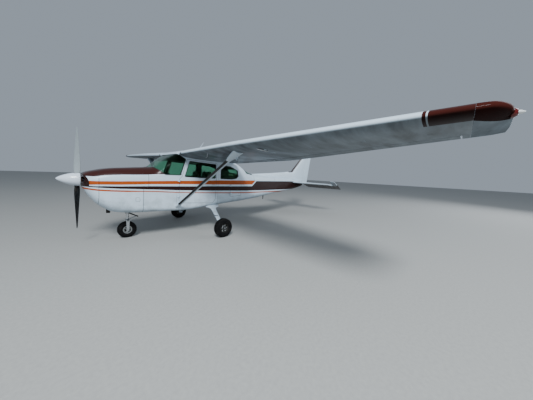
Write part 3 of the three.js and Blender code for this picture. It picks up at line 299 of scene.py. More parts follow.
def common(mesh, *tools):
    return carved(mesh, "INTERSECT", *tools)


def mirror(mesh):
    """The same mesh on the other side of the centre line."""
    work = bmesh.new()
    work.from_mesh(mesh)
    bmesh.ops.scale(work, vec=(1, -1, 1), verts=work.verts)
    bmesh.ops.reverse_faces(work, faces=work.faces)
    result = bpy.data.meshes.new(mesh.name + "_mirrored")
    work.to_mesh(result)
    work.free()
    for material in mesh.materials:
        result.materials.append(material)
    return result


def piece(name, mesh, body, slot, *stands_for):
    """Puts a mesh in the scene, on its body, with the solids it stands for hidden; slot is not used."""
    mesh.name = name
    item = bpy.data.objects.new(name, mesh)
    scene.collection.objects.link(item)
    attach(item, body)
    if stands_for:
        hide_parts(*stands_for)
    triangles = sum(len(p.vertices) - 2 for p in mesh.polygons)
    print(f"{name}: {triangles} triangles on {body}")
    return item


def both(name, mesh, body, slot, *stands_for):
    """A piece for the left side, and its mirror for the right; {} in a name is the side."""
    for side in ("left", "right"):
        own = mesh if side == "left" else mirror(mesh)
        nodes = [node.format(side) for node in stands_for]
        piece(name.format(side), own, body.format(side), slot, *nodes)


# %% [markdown]
# ## Finishes
# A painted aircraft that lives outdoors isn't one colour. The paint is clear-coated but chalky
# where the sun falls, dirty round the belly, and the thin sheet under it waves a little between
# its rivets. Each of these is a small node group that many materials share. The class below only
# shortens the writing of nodes.

# %% Short names for shader nodes
class Graph:
    def __init__(self, tree):
        self.tree = tree

    def node(self, kind, sockets=None, **settings):
        made = self.tree.nodes.new("ShaderNode" + kind)
        for key, value in settings.items():
            setattr(made, key, value)
        for key, value in (sockets or {}).items():
            self.plug(value, made.inputs[key])
        return made

    def plug(self, value, socket):
        if isinstance(value, bpy.types.NodeSocket):
            self.tree.links.new(value, socket)
        else:
            socket.default_value = value

    def math(self, operation, *values):
        return self.node("Math", dict(enumerate(values)), operation=operation).outputs[0]

    def plus(self, first, second):
        return self.math("ADD", first, second)

    def minus(self, first, second):
        return self.math("SUBTRACT", first, second)

    def times(self, first, second):
        return self.math("MULTIPLY", first, second)

    def over(self, value, limit):
        return self.math("GREATER_THAN", value, limit)

    def below(self, value, limit):
        return self.math("LESS_THAN", value, limit)

    def largest(self, first, second):
        return self.math("MAXIMUM", first, second)

    def vector(self, operation, *values):
        return self.node("VectorMath", dict(enumerate(values)), operation=operation).outputs[0]

    def blend(self, share, first, second, how="MIX"):
        made = self.node("Mix", {0: share, 6: first, 7: second}, data_type="RGBA", blend_type=how)
        return made.outputs[2]

    def spread(self, value, low, high, to_low=0.0, to_high=1.0, smoothly=False):
        sockets = {0: value, 1: low, 2: high, 3: to_low, 4: to_high}
        kind = "SMOOTHSTEP" if smoothly else "LINEAR"
        return self.node("MapRange", sockets, interpolation_type=kind).outputs[0]

    def noise(self, where, scale, detail=3.0, roughness=0.55, stretch=None):
        if stretch:
            where = self.vector("MULTIPLY", where, stretch)
        sockets = {"Vector": where, "Scale": scale, "Detail": detail, "Roughness": roughness}
        return self.node("TexNoise", sockets).outputs[0]

    def own_place(self):
        return self.node("TexCoord").outputs["Object"]

    def group(self, name, **sockets):
        made = self.node("Group", node_tree=bpy.data.node_groups[name])
        for key, value in sockets.items():
            self.plug(value, made.inputs[key])
        return made.outputs


def new_group(name, inputs, outputs):
    """An empty node group; inputs are (name, kind, value), outputs (name, kind)."""
    tree = bpy.data.node_groups.new(name, "ShaderNodeTree")
    for label, kind, value in inputs:
        socket = tree.interface.new_socket(label, in_out="INPUT", socket_type="NodeSocket" + kind)
        socket.default_value = value
    for label, kind in outputs:
        tree.interface.new_socket(label, in_out="OUTPUT", socket_type="NodeSocket" + kind)
    start = tree.nodes.new("NodeGroupInput")
    end = tree.nodes.new("NodeGroupOutput")
    return Graph(tree), start.outputs, end.inputs


def srgb(red, green, blue):
    """A colour as a paint card gives it, from 0 to 255, in the linear values that shaders use."""
    linear = [
        v / 12.92 if v <= 0.04045 else ((v + 0.055) / 1.055) ** 2.4
        for v in (red / 255, green / 255, blue / 255)
    ]
    return (*linear, 1.0)


# %% [markdown]
# The stations again, now for shaders: the group gives how far aft, left and up a point of the
# skin is, so that a stripe can be masked as a painter masks it, by height above the floor jig.

# %% Group: stations of a point, in metres
def make_stations_group():
    g, _, out = new_group("stations", [], [("Aft", "Float"), ("Left", "Float"), ("Up", "Float")])
    parts = g.node("SeparateXYZ", {0: g.own_place()}).outputs
    ahead = g.minus(parts[0], MAIN_AXLE.x)
    above = g.minus(parts[2], MAIN_AXLE.z)
    cos, sin = math.cos(PARK_ANGLE), math.sin(PARK_ANGLE)
    along = g.plus(g.times(ahead, cos), g.times(above, sin))
    over = g.minus(g.times(above, cos), g.times(ahead, sin))
    g.plug(g.minus(MAIN_AXLE_AFT / 1000, along), out["Aft"])
    g.plug(parts[1], out["Left"])
    g.plug(g.plus(over, MAIN_AXLE_UP / 1000), out["Up"])


make_stations_group()


# %% Groups: dirt, dents and rivets
def make_dirt_group():
    """Patches and fine specks; Amount is how much of the surface they reach."""
    inputs = [("Scale", "Float", 3.0), ("Amount", "Float", 0.5)]
    g, take, out = new_group("dirt", inputs, [("Mask", "Float")])
    where = g.own_place()
    broad = g.noise(where, take["Scale"], 4.0)
    fine = g.noise(where, g.times(take["Scale"], 22.0), 2.0)
    both_sizes = g.plus(g.times(broad, 0.7), g.times(fine, 0.3))
    edge = g.minus(0.8, g.times(take["Amount"], 0.5))
    g.plug(g.spread(both_sizes, edge, g.plus(edge, 0.22), smoothly=True), out["Mask"])


def make_dents_group():
    """The slow waves of thin sheet between its frames."""
    inputs = [("Scale", "Float", 3.0), ("Depth", "Float", 1.0)]
    g, take, out = new_group("dents", inputs, [("Height", "Float")])
    waves = g.noise(g.own_place(), take["Scale"], 1.5, 0.4)
    g.plug(g.times(waves, take["Depth"]), out["Height"])


def make_rivets_group():
    """Rows of flat round heads. Along and Across are distances on the skin, in metres."""
    inputs = [
        ("Along", "Float", 0.0),
        ("Across", "Float", 0.0),
        ("Spacing", "Float", 0.03),
        ("Rows", "Float", 0.4),
        ("Radius", "Float", 0.0028),
    ]
    g, take, out = new_group("rivets", inputs, [("Height", "Float"), ("Mask", "Float")])

    def offset(value, step):
        share = g.math("FRACT", g.math("DIVIDE", value, step))
        return g.times(g.minus(share, 0.5), step)

    near = offset(take["Along"], take["Spacing"])
    row = offset(take["Across"], take["Rows"])
    far = g.math("SQRT", g.plus(g.times(near, near), g.times(row, row)))
    head = g.spread(far, take["Radius"], g.times(take["Radius"], 0.6), smoothly=True)
    ring = g.spread(far, take["Radius"], g.times(take["Radius"], 1.5), 1.0, 0.0)
    inside = g.below(far, g.times(take["Radius"], 0.85))
    g.plug(head, out["Height"])
    g.plug(g.times(ring, g.minus(1.0, inside)), out["Mask"])


make_dirt_group()
make_dents_group()
make_rivets_group()

# %% [markdown]
# The stripes. A painter snaps lines along the fuselage and masks between them. Each line here is
# a short table of (aft, up) in metres, read by a colour ramp that serves as a ruler: it gives the
# height of the line at any station.

# %% Group: the stripes of the fuselage
# The white of the paint, with a blue tint in it that is painted skylight.
SKY_TINTED_WHITE = srgb(200, 216, 229)
ORANGE = srgb(168, 76, 22)
DECK_BROWN = srgb(56, 26, 23)
DARK_BROWN = srgb(38, 18, 16)
TIP_BROWN = srgb(60, 26, 22)
AFT_SPAN = (-1.3, 7.0)
UP_SPAN = (0.9, 1.6)
DECK_LINE = [
    (-1.3, 1.2), (-0.842, 1.228), (-0.764, 1.229), (-0.64, 1.256), (-0.5, 1.278), (-0.35, 1.297),
    (-0.162, 1.311), (0.072, 1.332), (0.228, 1.353), (0.47, 1.38),
]
ORANGE_TOP = [
    (-1.3, 1.12), (-0.84, 1.148), (-0.74, 1.148), (-0.39, 1.168), (-0.289, 1.176), (0.112, 1.204),
    (0.733, 1.247), (1.202, 1.276), (1.675, 1.312), (2.177, 1.341), (3.0, 1.383), (3.4, 1.4),
]
ORANGE_LOW = [
    (-1.3, 1.05), (-0.84, 1.072), (-0.74, 1.083), (-0.387, 1.1), (-0.289, 1.107), (0.113, 1.137),
    (0.736, 1.17), (1.206, 1.189), (1.924, 1.216), (3.0, 1.257), (3.4, 1.27),
]
BROWN_TOP = [
    (-1.3, 1.03), (-0.84, 1.053), (-0.741, 1.053), (-0.63, 1.062), (-0.387, 1.07), (-0.289, 1.076),
    (0.113, 1.097), (0.738, 1.121), (1.35, 1.145), (1.927, 1.167), (2.994, 1.203), (3.4, 1.217),
]
BROWN_LOW = [
    (-1.3, 1.03), (-0.827, 1.032), (-0.63, 1.027), (-0.387, 1.022), (-0.16, 1.026), (0.228, 1.028),
    (0.655, 1.028), (1.317, 1.034), (1.81, 1.046), (2.337, 1.057), (2.822, 1.064), (3.721, 1.09),
    (4.502, 1.123), (5.39, 1.16), (7, 1.23),
]
THIN_TOP = [
    (-1.3, 1.03), (-0.916, 1.022), (-0.853, 1.012), (-0.721, 1.0), (-0.5, 0.992), (-0.288, 0.994),
    (-0.03, 0.992), (0.228, 0.998), (0.412, 0.996), (0.656, 0.987), (0.923, 0.988), (1.32, 0.992),
    (1.94, 1.001), (2.824, 1.017), (3.75, 1.05), (4.52, 1.075), (5.4, 1.11), (7, 1.17),
]
THIN_LOW = [
    (-1.3, 0.99), (-0.895, 0.983), (-0.853, 0.981), (-0.721, 0.969), (-0.524, 0.963), (-0.288, 0.963),
    (-0.03, 0.972), (0.229, 0.976), (0.413, 0.971), (0.657, 0.967), (1.32, 0.97), (1.94, 0.975),
    (2.826, 0.986), (3.76, 1.019), (4.58, 1.036), (5.4, 1.07), (7, 1.13),
]
AFT_TOP = [(3.0, 1.365), (3.288, 1.378), (4.268, 1.423), (5.323, 1.474), (6.59, 1.52), (7, 1.53)]
SLANT_FOOT = (3.02, 1.222)
SLANT_HEAD = (3.225, 1.39)
SLANT_WIDTH = 0.055
DECK_END_AFT, DECK_END_UP = 0.75, 1.55
SWEEP_END_AFT = 3.4
BOWL_EDGE_AFT, BOWL_MIDDLE_UP, BOWL_CURVE = -0.831, 1.1, 2.85


def line_height(g, aft, table):
    """The height of a snapped line at a station, from its table."""
    ruler = g.node("ValToRGB", {0: g.spread(aft, *AFT_SPAN)})
    elements = ruler.color_ramp.elements
    marks = [
        ((a - AFT_SPAN[0]) / (AFT_SPAN[1] - AFT_SPAN[0]), (u - UP_SPAN[0]) / (UP_SPAN[1] - UP_SPAN[0]))
        for a, u in table
    ]
    elements[0].position, elements[1].position = marks[0][0], marks[-1][0]
    elements[0].color = (*[marks[0][1]] * 3, 1)
    elements[1].color = (*[marks[-1][1]] * 3, 1)
    for place, grey in marks[1:-1]:
        elements.new(place).color = (grey, grey, grey, 1)
    return g.spread(ruler.outputs[0], 0.0, 1.0, *UP_SPAN)


def make_stripes_group():
    g, _, out = new_group("stripes", [], [("Colour", "Color")])
    place = g.group("stations")
    aft, up = place["Aft"], place["Up"]

    def above(table):
        return g.over(up, line_height(g, aft, table))

    def between(low, high):
        return g.times(above(low), g.minus(1.0, above(high)))

    lean = (SLANT_HEAD[0] - SLANT_FOOT[0]) / (SLANT_HEAD[1] - SLANT_FOOT[1])
    slant = g.plus(g.times(g.minus(up, SLANT_FOOT[1]), lean), SLANT_FOOT[0])
    ahead = g.below(aft, slant)
    behind = g.over(aft, g.plus(slant, SLANT_WIDTH))
    bulge = g.math("POWER", g.largest(g.minus(up, BOWL_MIDDLE_UP), 0.0), 2.0)
    nose = g.below(aft, g.minus(BOWL_EDGE_AFT, g.times(bulge, BOWL_CURVE)))
    cowl_top = g.times(g.below(aft, DECK_END_AFT), g.below(up, DECK_END_UP))
    deck = g.times(above(DECK_LINE), cowl_top)
    orange = g.times(between(ORANGE_LOW, ORANGE_TOP), ahead)
    brown = g.times(between(BROWN_LOW, BROWN_TOP), g.below(aft, SWEEP_END_AFT))
    filled = g.times(between(BROWN_LOW, AFT_TOP), behind)
    bowl = g.times(nose, above(BROWN_LOW))
    thin = between(THIN_LOW, THIN_TOP)
    colour = g.blend(deck, SKY_TINTED_WHITE, DECK_BROWN)
    colour = g.blend(orange, colour, ORANGE)
    dark = g.largest(g.largest(brown, filled), bowl)
    colour = g.blend(dark, colour, DARK_BROWN)
    colour = g.blend(thin, colour, ORANGE)
    g.plug(colour, out["Colour"])


make_stripes_group()

# %% [markdown]
# ## Materials
# One helper makes every painted skin: a colour, the chalk and dirt that lie on it, painted shade
# where it faces down, the dents under it, and a clear coat. The calls below say only what differs
# from skin to skin.

# %% Paint
DIRT = srgb(120, 108, 92)
CHALK = srgb(206, 208, 206)
SOOT = srgb(38, 34, 31)
# painted shade: the grey that darkens skin where it faces down
UNDERSIDE_SHADE = srgb(74, 71, 68)
HULL_SEAMS = [
    # aft, half width, low, high, in metres
    (-0.7, 0.004, 0.6, 1.35), (0.0, 0.006, 0.5, 1.03), (0.09, 0.005, 1.1, 1.36), (0.66, 0.003, 0.5, 1.1),
    (1.74, 0.003, 0.5, 1.5), (3.15, 0.004, 0.7, 1.6), (4.3, 0.003, 0.9, 1.6), (5.5, 0.003, 1.0, 1.6),
]


def material_of(name, **plain):
    """A material, its graph and its shader, with the plain values set on the shader itself."""
    material = bpy.data.materials.new(name)
    material.use_nodes = True
    shader = material.node_tree.nodes["Principled BSDF"]
    for label, value in plain.items():
        shader.inputs[label.replace("_", " ")].default_value = value
    return material, Graph(material.node_tree), shader.inputs


def bump(g, height, distance, strength=1.0, under=None):
    sockets = {"Height": height, "Distance": distance, "Strength": strength}
    if under is not None:
        sockets["Normal"] = under
    return g.node("Bump", sockets).outputs[0]


def seam_mask(g, place, seams):
    """Dirt that collects in the joints of the skin; each is (aft, half width, low, high)."""
    total = None
    for aft, half, low, high in seams:
        near = g.below(g.math("ABSOLUTE", g.minus(place["Aft"], aft)), half)
        tall = g.times(g.over(place["Up"], low), g.below(place["Up"], high))
        line = g.times(near, tall)
        total = line if total is None else g.largest(total, line)
    return total


def paint(
    name, colour_of, rows=None, dirt=0.35, gloss=0.3, dent=0.0035, rivet=0.4, under=0.25, seams=(),
    coat=0.22, shine=0.4,
):
    """colour_of(g) gives the paint's colour; rows(g, place) the rivet lines as (along, across)."""
    made, g, shader = material_of(name, Coat_Weight=coat, Coat_Roughness=0.12, Specular_IOR_Level=shine)
    place = g.group("stations")
    # painted shade: skin that faces down is darkened towards the shade grey, as much as under says
    facing = g.node("SeparateXYZ", {0: g.node("NewGeometry").outputs["Normal"]}).outputs[2]
    underside_shade = g.times(g.spread(facing, -0.25, -0.85, smoothly=True), under)
    mask = g.group("dirt", Scale=2.2, Amount=dirt)["Mask"]
    low = g.spread(place["Up"], 1.15, 0.55, smoothly=True)
    belly = g.times(low, g.group("dirt", Scale=5.0, Amount=0.75)["Mask"])
    streak = g.noise(g.own_place(), 9.0, 2.0, 0.5, stretch=(0.35, 1.0, 2.6))
    colour = g.blend(g.spread(streak, 0.35, 0.8, 0.0, 0.22), colour_of(g), CHALK, "MULTIPLY")
    colour = g.blend(g.times(mask, 0.2), colour, DIRT, "MULTIPLY")
    colour = g.blend(g.times(belly, 0.35), colour, DIRT, "MULTIPLY")
    # a streaky noise makes the painted shade uneven
    smear = g.noise(g.own_place(), 3.0, 4.0, 0.6, stretch=(0.5, 2.0, 1.0))
    underside_shade = g.times(underside_shade, g.spread(smear, 0.2, 0.75, 0.7, 1.0))
    colour = g.blend(underside_shade, colour, UNDERSIDE_SHADE, "MULTIPLY")
    if seams:
        colour = g.blend(g.times(seam_mask(g, place, seams), 0.6), colour, SOOT)
    rough = g.plus(gloss, g.times(g.largest(mask, belly), 0.22))
    normal = bump(g, g.group("dents", Scale=2.6, Depth=1.0)["Height"], dent)
    for along, across, spacing, gap in rows(g, place) if rows else []:
        line = g.group("rivets", Along=along, Across=across, Spacing=spacing, Rows=gap)
        colour = g.blend(g.times(line["Mask"], 0.25), colour, SOOT)
        normal = bump(g, line["Height"], 0.0008, rivet, normal)
    g.plug(colour, shader["Base Color"])
    g.plug(rough, shader["Roughness"])
    g.plug(normal, shader["Normal"])
    return made


def hull_rows(g, place):
    return [(place["Up"], place["Aft"], 0.026, 0.47)]


def wing_rows(g, place):
    side = g.math("ABSOLUTE", place["Left"])
    return [(place["Aft"], side, 0.025, 0.38), (side, place["Aft"], 0.025, 0.46)]


def fin_rows(g, place):
    return [(place["Aft"], place["Up"], 0.024, 0.34)]


# the wing's plan and the foot of the fin in millimetres, which the paint follows in metres
WING_ROOT, WING_BREAK, WING_JOINT = 566, 2540, 5200
WING_LEAD, LEAD_SWEEP = 660, 120
ROOT_CHORD, TIP_CHORD = 1626, 1118
FIN_FOOT_AFT, FIN_FOOT_UP = 5560, 1897
# painted edges in metres
BAND_FROM = 4.905
BAND_LINE = (4.93, 4.942)
BAND_SHARE = 0.15
TIP_EDGE_AFT, TIP_EDGE_SLANT = 0.95, 1.4
FIN_EDGE_WIDTH, FIN_EDGE_UP, FIN_EDGE_AFT = 0.095, 1.88, 5.36
RIDGE_AFT, RIDGE_UP, RIDGE_RISE = 5.0, 1.778, 0.144


def wing_colour(g):
    """White, but for the brown band round the leading edge near the tip and its white ring."""
    place = g.group("stations")
    side = g.math("ABSOLUTE", place["Left"])
    share = g.spread(side, WING_BREAK / 1000, WING_JOINT / 1000)
    lead = g.plus(WING_LEAD / 1000, g.times(share, LEAD_SWEEP / 1000))
    chord = g.minus(ROOT_CHORD / 1000, g.times(share, (ROOT_CHORD - TIP_CHORD) / 1000))
    back = g.math("DIVIDE", g.minus(place["Aft"], lead), chord)
    front = g.below(back, BAND_SHARE)
    out = g.over(side, BAND_FROM)
    ring = g.times(g.over(side, BAND_LINE[0]), g.below(side, BAND_LINE[1]))
    brown = g.times(g.times(front, out), g.minus(1.0, ring))
    return g.blend(brown, SKY_TINTED_WHITE, TIP_BROWN)


def tip_colour(g):
    """Brown in front and over the top of the tip, white under its rear half."""
    place = g.group("stations")
    side = g.math("ABSOLUTE", place["Left"])
    edge = g.plus(TIP_EDGE_AFT, g.times(g.minus(side, WING_JOINT / 1000), TIP_EDGE_SLANT))
    facing = g.node("SeparateXYZ", {0: g.node("NewGeometry").outputs["Normal"]}).outputs[2]
    under = g.below(facing, -0.4)
    rear = g.times(g.over(place["Aft"], edge), under)
    return g.blend(rear, TIP_BROWN, SKY_TINTED_WHITE)


def fin_colour(g):
    """White, with a dark line down the leading edge."""
    place = g.group("stations")
    lead = g.plus(FIN_FOOT_AFT / 1000, g.minus(place["Up"], FIN_FOOT_UP / 1000))
    front = g.below(g.minus(place["Aft"], lead), FIN_EDGE_WIDTH)
    high = g.over(place["Up"], FIN_EDGE_UP)
    ridge = g.plus(RIDGE_UP, g.times(g.minus(place["Aft"], RIDGE_AFT), RIDGE_RISE))
    end = g.times(g.over(place["Up"], ridge), g.over(place["Aft"], FIN_EDGE_AFT))
    return g.blend(g.times(front, g.largest(high, end)), SKY_TINTED_WHITE, DARK_BROWN)


striped = paint(
    "striped_paint", lambda g: g.group("stripes")["Colour"], hull_rows, seams=HULL_SEAMS, coat=0.08,
    shine=0.2,
)
white = paint("white_paint", lambda g: SKY_TINTED_WHITE, None, gloss=0.32)
# The wing, its beaded flaps and ailerons, the tips and the stabiliser take strong painted shade where they
# face down.
wing_white = paint("wing_paint", wing_colour, wing_rows, dent=0.005, under=0.95, coat=0.08, shine=0.02)
ribbed_white = paint(
    "ribbed_sheet_paint", lambda g: SKY_TINTED_WHITE, None, dirt=0.5, under=0.95, coat=0.08, shine=0.02
)
tip_brown = paint("wing_tip_paint", tip_colour, None, gloss=0.4, dent=0.001, under=0.9, coat=0.06, shine=0.0)
fin_white = paint("fin_paint", fin_colour, fin_rows)
tail_white = paint("stabiliser_paint", lambda g: SKY_TINTED_WHITE, wing_rows, under=0.8)
elevator_dark = paint("elevator_paint", lambda g: srgb(34, 25, 24), None, dirt=0.4, coat=0.05)
print("painted skins ready")


# %% Metal, rubber, plastic and glass
def metal(name, colour, rough, wear=0.5, grain=120.0, **plain):
    made, g, shader = material_of(name, Metallic=1.0, **plain)
    mask = g.group("dirt", Scale=9.0, Amount=wear)["Mask"]
    fine = g.noise(g.own_place(), grain, 2.0, 0.6, stretch=(1.0, 1.0, 0.15))
    g.plug(g.blend(g.times(mask, 0.5), colour, srgb(70, 64, 58)), shader["Base Color"])
    g.plug(g.plus(rough, g.times(g.plus(fine, mask), 0.14)), shader["Roughness"])
    g.plug(bump(g, fine, 0.0003, 0.4), shader["Normal"])
    return made


def matt(name, colour, rough, dust, grain, depth, lift=DIRT, **plain):
    """Rubber, plastic and enamel: a colour, fine grain in relief, and patches of dust."""
    made, g, shader = material_of(name, **plain)
    where = g.own_place()
    fine = g.noise(where, grain, 3.0, 0.6)
    mask = g.group("dirt", Scale=12.0, Amount=0.6)["Mask"]
    colour = g.blend(g.spread(fine, 0.3, 0.7, 0.0, 0.35), colour, srgb(20, 20, 20), "MULTIPLY")
    g.plug(g.blend(g.times(mask, dust), colour, lift), shader["Base Color"])
    g.plug(g.spread(fine, 0.2, 0.8, rough - 0.06, rough + 0.08), shader["Roughness"])
    g.plug(bump(g, fine, depth), shader["Normal"])
    return made


def make_rubber():
    made, g, shader = material_of("tyre_rubber", Specular_IOR_Level=0.12)
    mask = g.group("dirt", Scale=14.0, Amount=0.7)["Mask"]
    fine = g.noise(g.own_place(), 220.0, 3.0, 0.6)
    g.plug(g.blend(g.times(mask, 0.16), srgb(11, 11, 13), srgb(70, 66, 60)), shader["Base Color"])
    g.plug(g.spread(fine, 0.2, 0.8, 0.72, 0.92), shader["Roughness"])
    g.plug(bump(g, fine, 0.0006, 0.5), shader["Normal"])
    return made


def make_glass():
    """Tinted acrylic, with the faint haze of years of wiping in its roughness."""
    made, g, shader = material_of("tinted_acrylic", Transmission_Weight=1.0, IOR=1.12)
    haze = g.noise(g.own_place(), 60.0, 2.0, 0.6, stretch=(0.3, 1.0, 1.0))
    g.plug(g.blend(g.spread(haze, 0.4, 0.8), srgb(170, 218, 194), srgb(160, 210, 186)), shader["Base Color"])
    g.plug(g.spread(haze, 0.45, 0.8, 0.015, 0.05), shader["Roughness"])
    return made


def make_lens(name, colour):
    made, g, shader = material_of(name, IOR=1.4, Coat_Weight=0.2)
    lines = g.node("TexWave", {"Vector": g.own_place(), "Scale": 90.0}).outputs[1]
    g.plug(g.blend(g.times(lines, 0.4), colour, srgb(30, 12, 10)), shader["Base Color"])
    g.plug(g.spread(lines, 0.0, 1.0, 0.12, 0.24), shader["Roughness"])
    g.plug(bump(g, lines, 0.0005, 0.5), shader["Normal"])
    return made


polished = metal("polished_alloy", srgb(196, 200, 204), 0.16, 0.35)
cast_alloy = metal("cast_wheel_alloy", srgb(188, 190, 190), 0.34, 0.55, 300.0)
bright_steel = metal("bright_steel", srgb(180, 182, 184), 0.24, 0.45)
dark_steel = metal("dark_steel", srgb(66, 64, 62), 0.45, 0.6)
engine_iron = metal("engine_iron", srgb(92, 94, 96), 0.5, 0.7)
rubber = make_rubber()
blade_grey = matt("blade_front_grey", srgb(178, 188, 192), 0.36, 0.2, 240.0, 0.0003, Metallic=0.25)
black_plastic = matt("black_plastic", srgb(28, 28, 29), 0.5, 0.18, 600.0, 0.0003)
black_enamel = matt("blade_back_black", srgb(22, 23, 24), 0.55, 0.22, 260.0, 0.0004)
trim_black = matt("window_strip_black", srgb(24, 25, 26), 0.55, 0.15, 400.0, 0.0003)
pale_plastic = matt("pale_plastic", srgb(186, 180, 166), 0.55, 0.25, 300.0, 0.0004)
lining = matt("cabin_lining", srgb(104, 97, 88), 0.85, 0.25, 500.0, 0.0008, Sheen_Weight=0.3)
glass = make_glass()
red_lens = make_lens("red_lens", srgb(92, 14, 13))
green_lens = make_lens("green_lens", srgb(26, 120, 66))
clear_lens = make_lens("clear_lens", srgb(222, 226, 226))
print("metals, rubber, plastics and glass ready")


# %% Cloth and carpet
def make_cloth(name, colour, second):
    """A plain weave: two sets of threads over and under, in relief and in colour."""
    made, g, shader = material_of(name, Sheen_Weight=0.35, Sheen_Roughness=0.5)
    where = g.own_place()
    heights = [
        g.node(
            "TexWave", {"Vector": where, "Scale": 160.0, "Distortion": 0.6}, bands_direction=way
        ).outputs[1]
        for way in "XYZ"
    ]
    weave = g.times(g.plus(heights[0], heights[1]), g.plus(heights[1], heights[2]))
    worn = g.group("dirt", Scale=7.0, Amount=0.7)["Mask"]
    base = g.blend(g.spread(weave, 0.2, 2.2), colour, second)
    g.plug(g.blend(g.times(worn, 0.35), base, srgb(142, 126, 108)), shader["Base Color"])
    g.plug(g.spread(weave, 0.0, 3.0, 0.82, 0.95), shader["Roughness"])
    g.plug(bump(g, weave, 0.0008), shader["Normal"])
    return made


def make_carpet():
    made, g, shader = material_of("floor_carpet", Sheen_Weight=0.4)
    tufts = g.node("TexVoronoi", {"Vector": g.own_place(), "Scale": 260.0}).outputs[0]
    worn = g.group("dirt", Scale=5.0, Amount=0.8)["Mask"]
    base = g.blend(g.spread(tufts, 0.0, 0.6), srgb(84, 74, 66), srgb(44, 38, 34))
    g.plug(g.blend(g.times(worn, 0.4), base, srgb(120, 108, 94)), shader["Base Color"])
    g.plug(g.spread(tufts, 0.0, 0.6, 0.88, 0.98), shader["Roughness"])
    g.plug(bump(g, tufts, 0.002), shader["Normal"])
    return made


seat_cloth = make_cloth("seat_cloth", srgb(104, 88, 74), srgb(62, 50, 42))
carpet = make_carpet()
print("cloth and carpet ready")

# %% [markdown]
# ## The fuselage
# The fuselage is a flat-sided box with rounded corners that change size along its length. The
# table gives it at the frames that matter, and monotone cubic curves carry it between them, as a
# batten would be bent between pins.

# %% Fuselage sections
HULL = np.array(
    [
        # aft, low, high, half width low, half width high, corner radius low, corner radius high
        [-925, 1045, 1245, 185, 205, 80, 95],
        [-900, 985, 1276, 255, 300, 135, 150],
        [-850, 888, 1302, 330, 362, 192, 185],
        [-720, 708, 1347, 412, 416, 225, 205],
        [-600, 612, 1382, 446, 441, 208, 210],
        [-535, 574, 1395, 462, 451, 196, 212],
        [-470, 552, 1409, 476, 460, 185, 215],
        [-200, 528, 1447, 508, 495, 150, 235],
        [0, 534, 1475, 530, 515, 130, 250],
        [220, 541, 1505, 545, 525, 113, 262],
        [410, 545, 1672, 555, 532, 100, 255],
        [560, 547, 1788, 560, 540, 90, 215],
        [640, 549, 1842, 562, 546, 88, 120],
        [690, 550, 1905, 563, 550, 86, 42],
        [800, 554, 1945, 564, 553, 84, 34],
        [1000, 567, 1974, 564, 554, 84, 30],
        [1250, 590, 1980, 564, 554, 92, 30],
        [1500, 621, 1960, 562, 553, 110, 30],
        [1800, 656, 1920, 556, 547, 138, 32],
        [2286, 706, 1832, 540, 528, 165, 50],
        [2400, 717, 1806, 534, 518, 165, 90],
        [3150, 795, 1588, 440, 400, 170, 170],
        [4300, 972, 1560, 300, 255, 130, 130],
        [5500, 1150, 1540, 160, 130, 75, 70],
        [6100, 1268, 1530, 96, 80, 42, 36],
        [6380, 1352, 1524, 62, 50, 28, 24],
    ],
    float,
)


def bent(table, place):
    """A row of a table at a place between its rows, on monotone cubic curves."""
    x, y = table[:, 0], table[:, 1:]
    gaps = np.diff(x)[:, None]
    rise = np.diff(y, axis=0) / gaps
    slope = np.zeros_like(y)
    slope[0], slope[-1] = rise[0], rise[-1]
    one, two = 2 * gaps[1:] + gaps[:-1], gaps[1:] + 2 * gaps[:-1]
    same = rise[1:] * rise[:-1] > 0
    before, after = np.where(same, rise[:-1], 1), np.where(same, rise[1:], 1)
    slope[1:-1] = np.where(same, (one + two) / (one / before + two / after), 0)
    i = int(np.clip(np.searchsorted(x, place) - 1, 0, len(x) - 2))
    gap = gaps[i, 0]
    t = min(max((place - x[i]) / gap, 0), 1)
    return (
        (1 + 2 * t) * (1 - t) ** 2 * y[i]
        + t * (1 - t) ** 2 * gap * slope[i]
        + t * t * (3 - 2 * t) * y[i + 1]
        + t * t * (t - 1) * gap * slope[i + 1]
    )


CORNER_STEPS = 8


def hull_section(aft, inset=0.0):
    """Points of (left, up) round the fuselage at a station, starting low on the left."""
    low, high, half_low, half_high, corner_low, corner_high = bent(HULL, aft)
    corners = [
        (half_low - corner_low, low + corner_low, corner_low, -1),
        (half_high - corner_high, high - corner_high, corner_high, 0),
        (corner_high - half_high, high - corner_high, corner_high, 1),
        (corner_low - half_low, low + corner_low, corner_low, 2),
    ]
    arcs = []
    for left, up, radius, start in corners:
        reach = max(radius - inset, 1)
        shift = reach - (radius - inset)
        left -= math.copysign(shift, left)
        up -= shift if start in (0, 1) else -shift
        turns = [(start + step / CORNER_STEPS) * math.pi / 2 for step in range(CORNER_STEPS + 1)]
        arcs.append([(left + reach * math.cos(t), up + reach * math.sin(t)) for t in turns])
    points = []
    for arc, following in zip(arcs, arcs[1:] + arcs[:1]):
        points += arc
        (l0, u0), (l1, u1) = arc[-1], following[0]
        points += [(l0 + (l1 - l0) * k / 4, u0 + (u1 - u0) * k / 4) for k in (1, 2, 3)]
    return points


NOSE_STATIONS = [-925, -924, -920, -914, -906, -895, -880, -862, -840, -812, -780]


def hull_stations(aft_from, aft_to, step=45):
    middle = [a for a in NOSE_STATIONS if aft_from < a < aft_to]
    start = max(aft_from, NOSE_STATIONS[-1])
    count = max(2, round((aft_to - start) / step))
    rest = [start + (aft_to - start) * k / count for k in range(count + 1)]
    return sorted({aft_from, *middle, *rest})


def hull(name, aft_from, aft_to, inset=0.0, step=45, finish=striped):
    rows = [
        [at(aft, left, up) for left, up in hull_section(aft, inset)]
        for aft in hull_stations(aft_from, aft_to, step)
    ]
    return coated(loft(name, rows), finish)


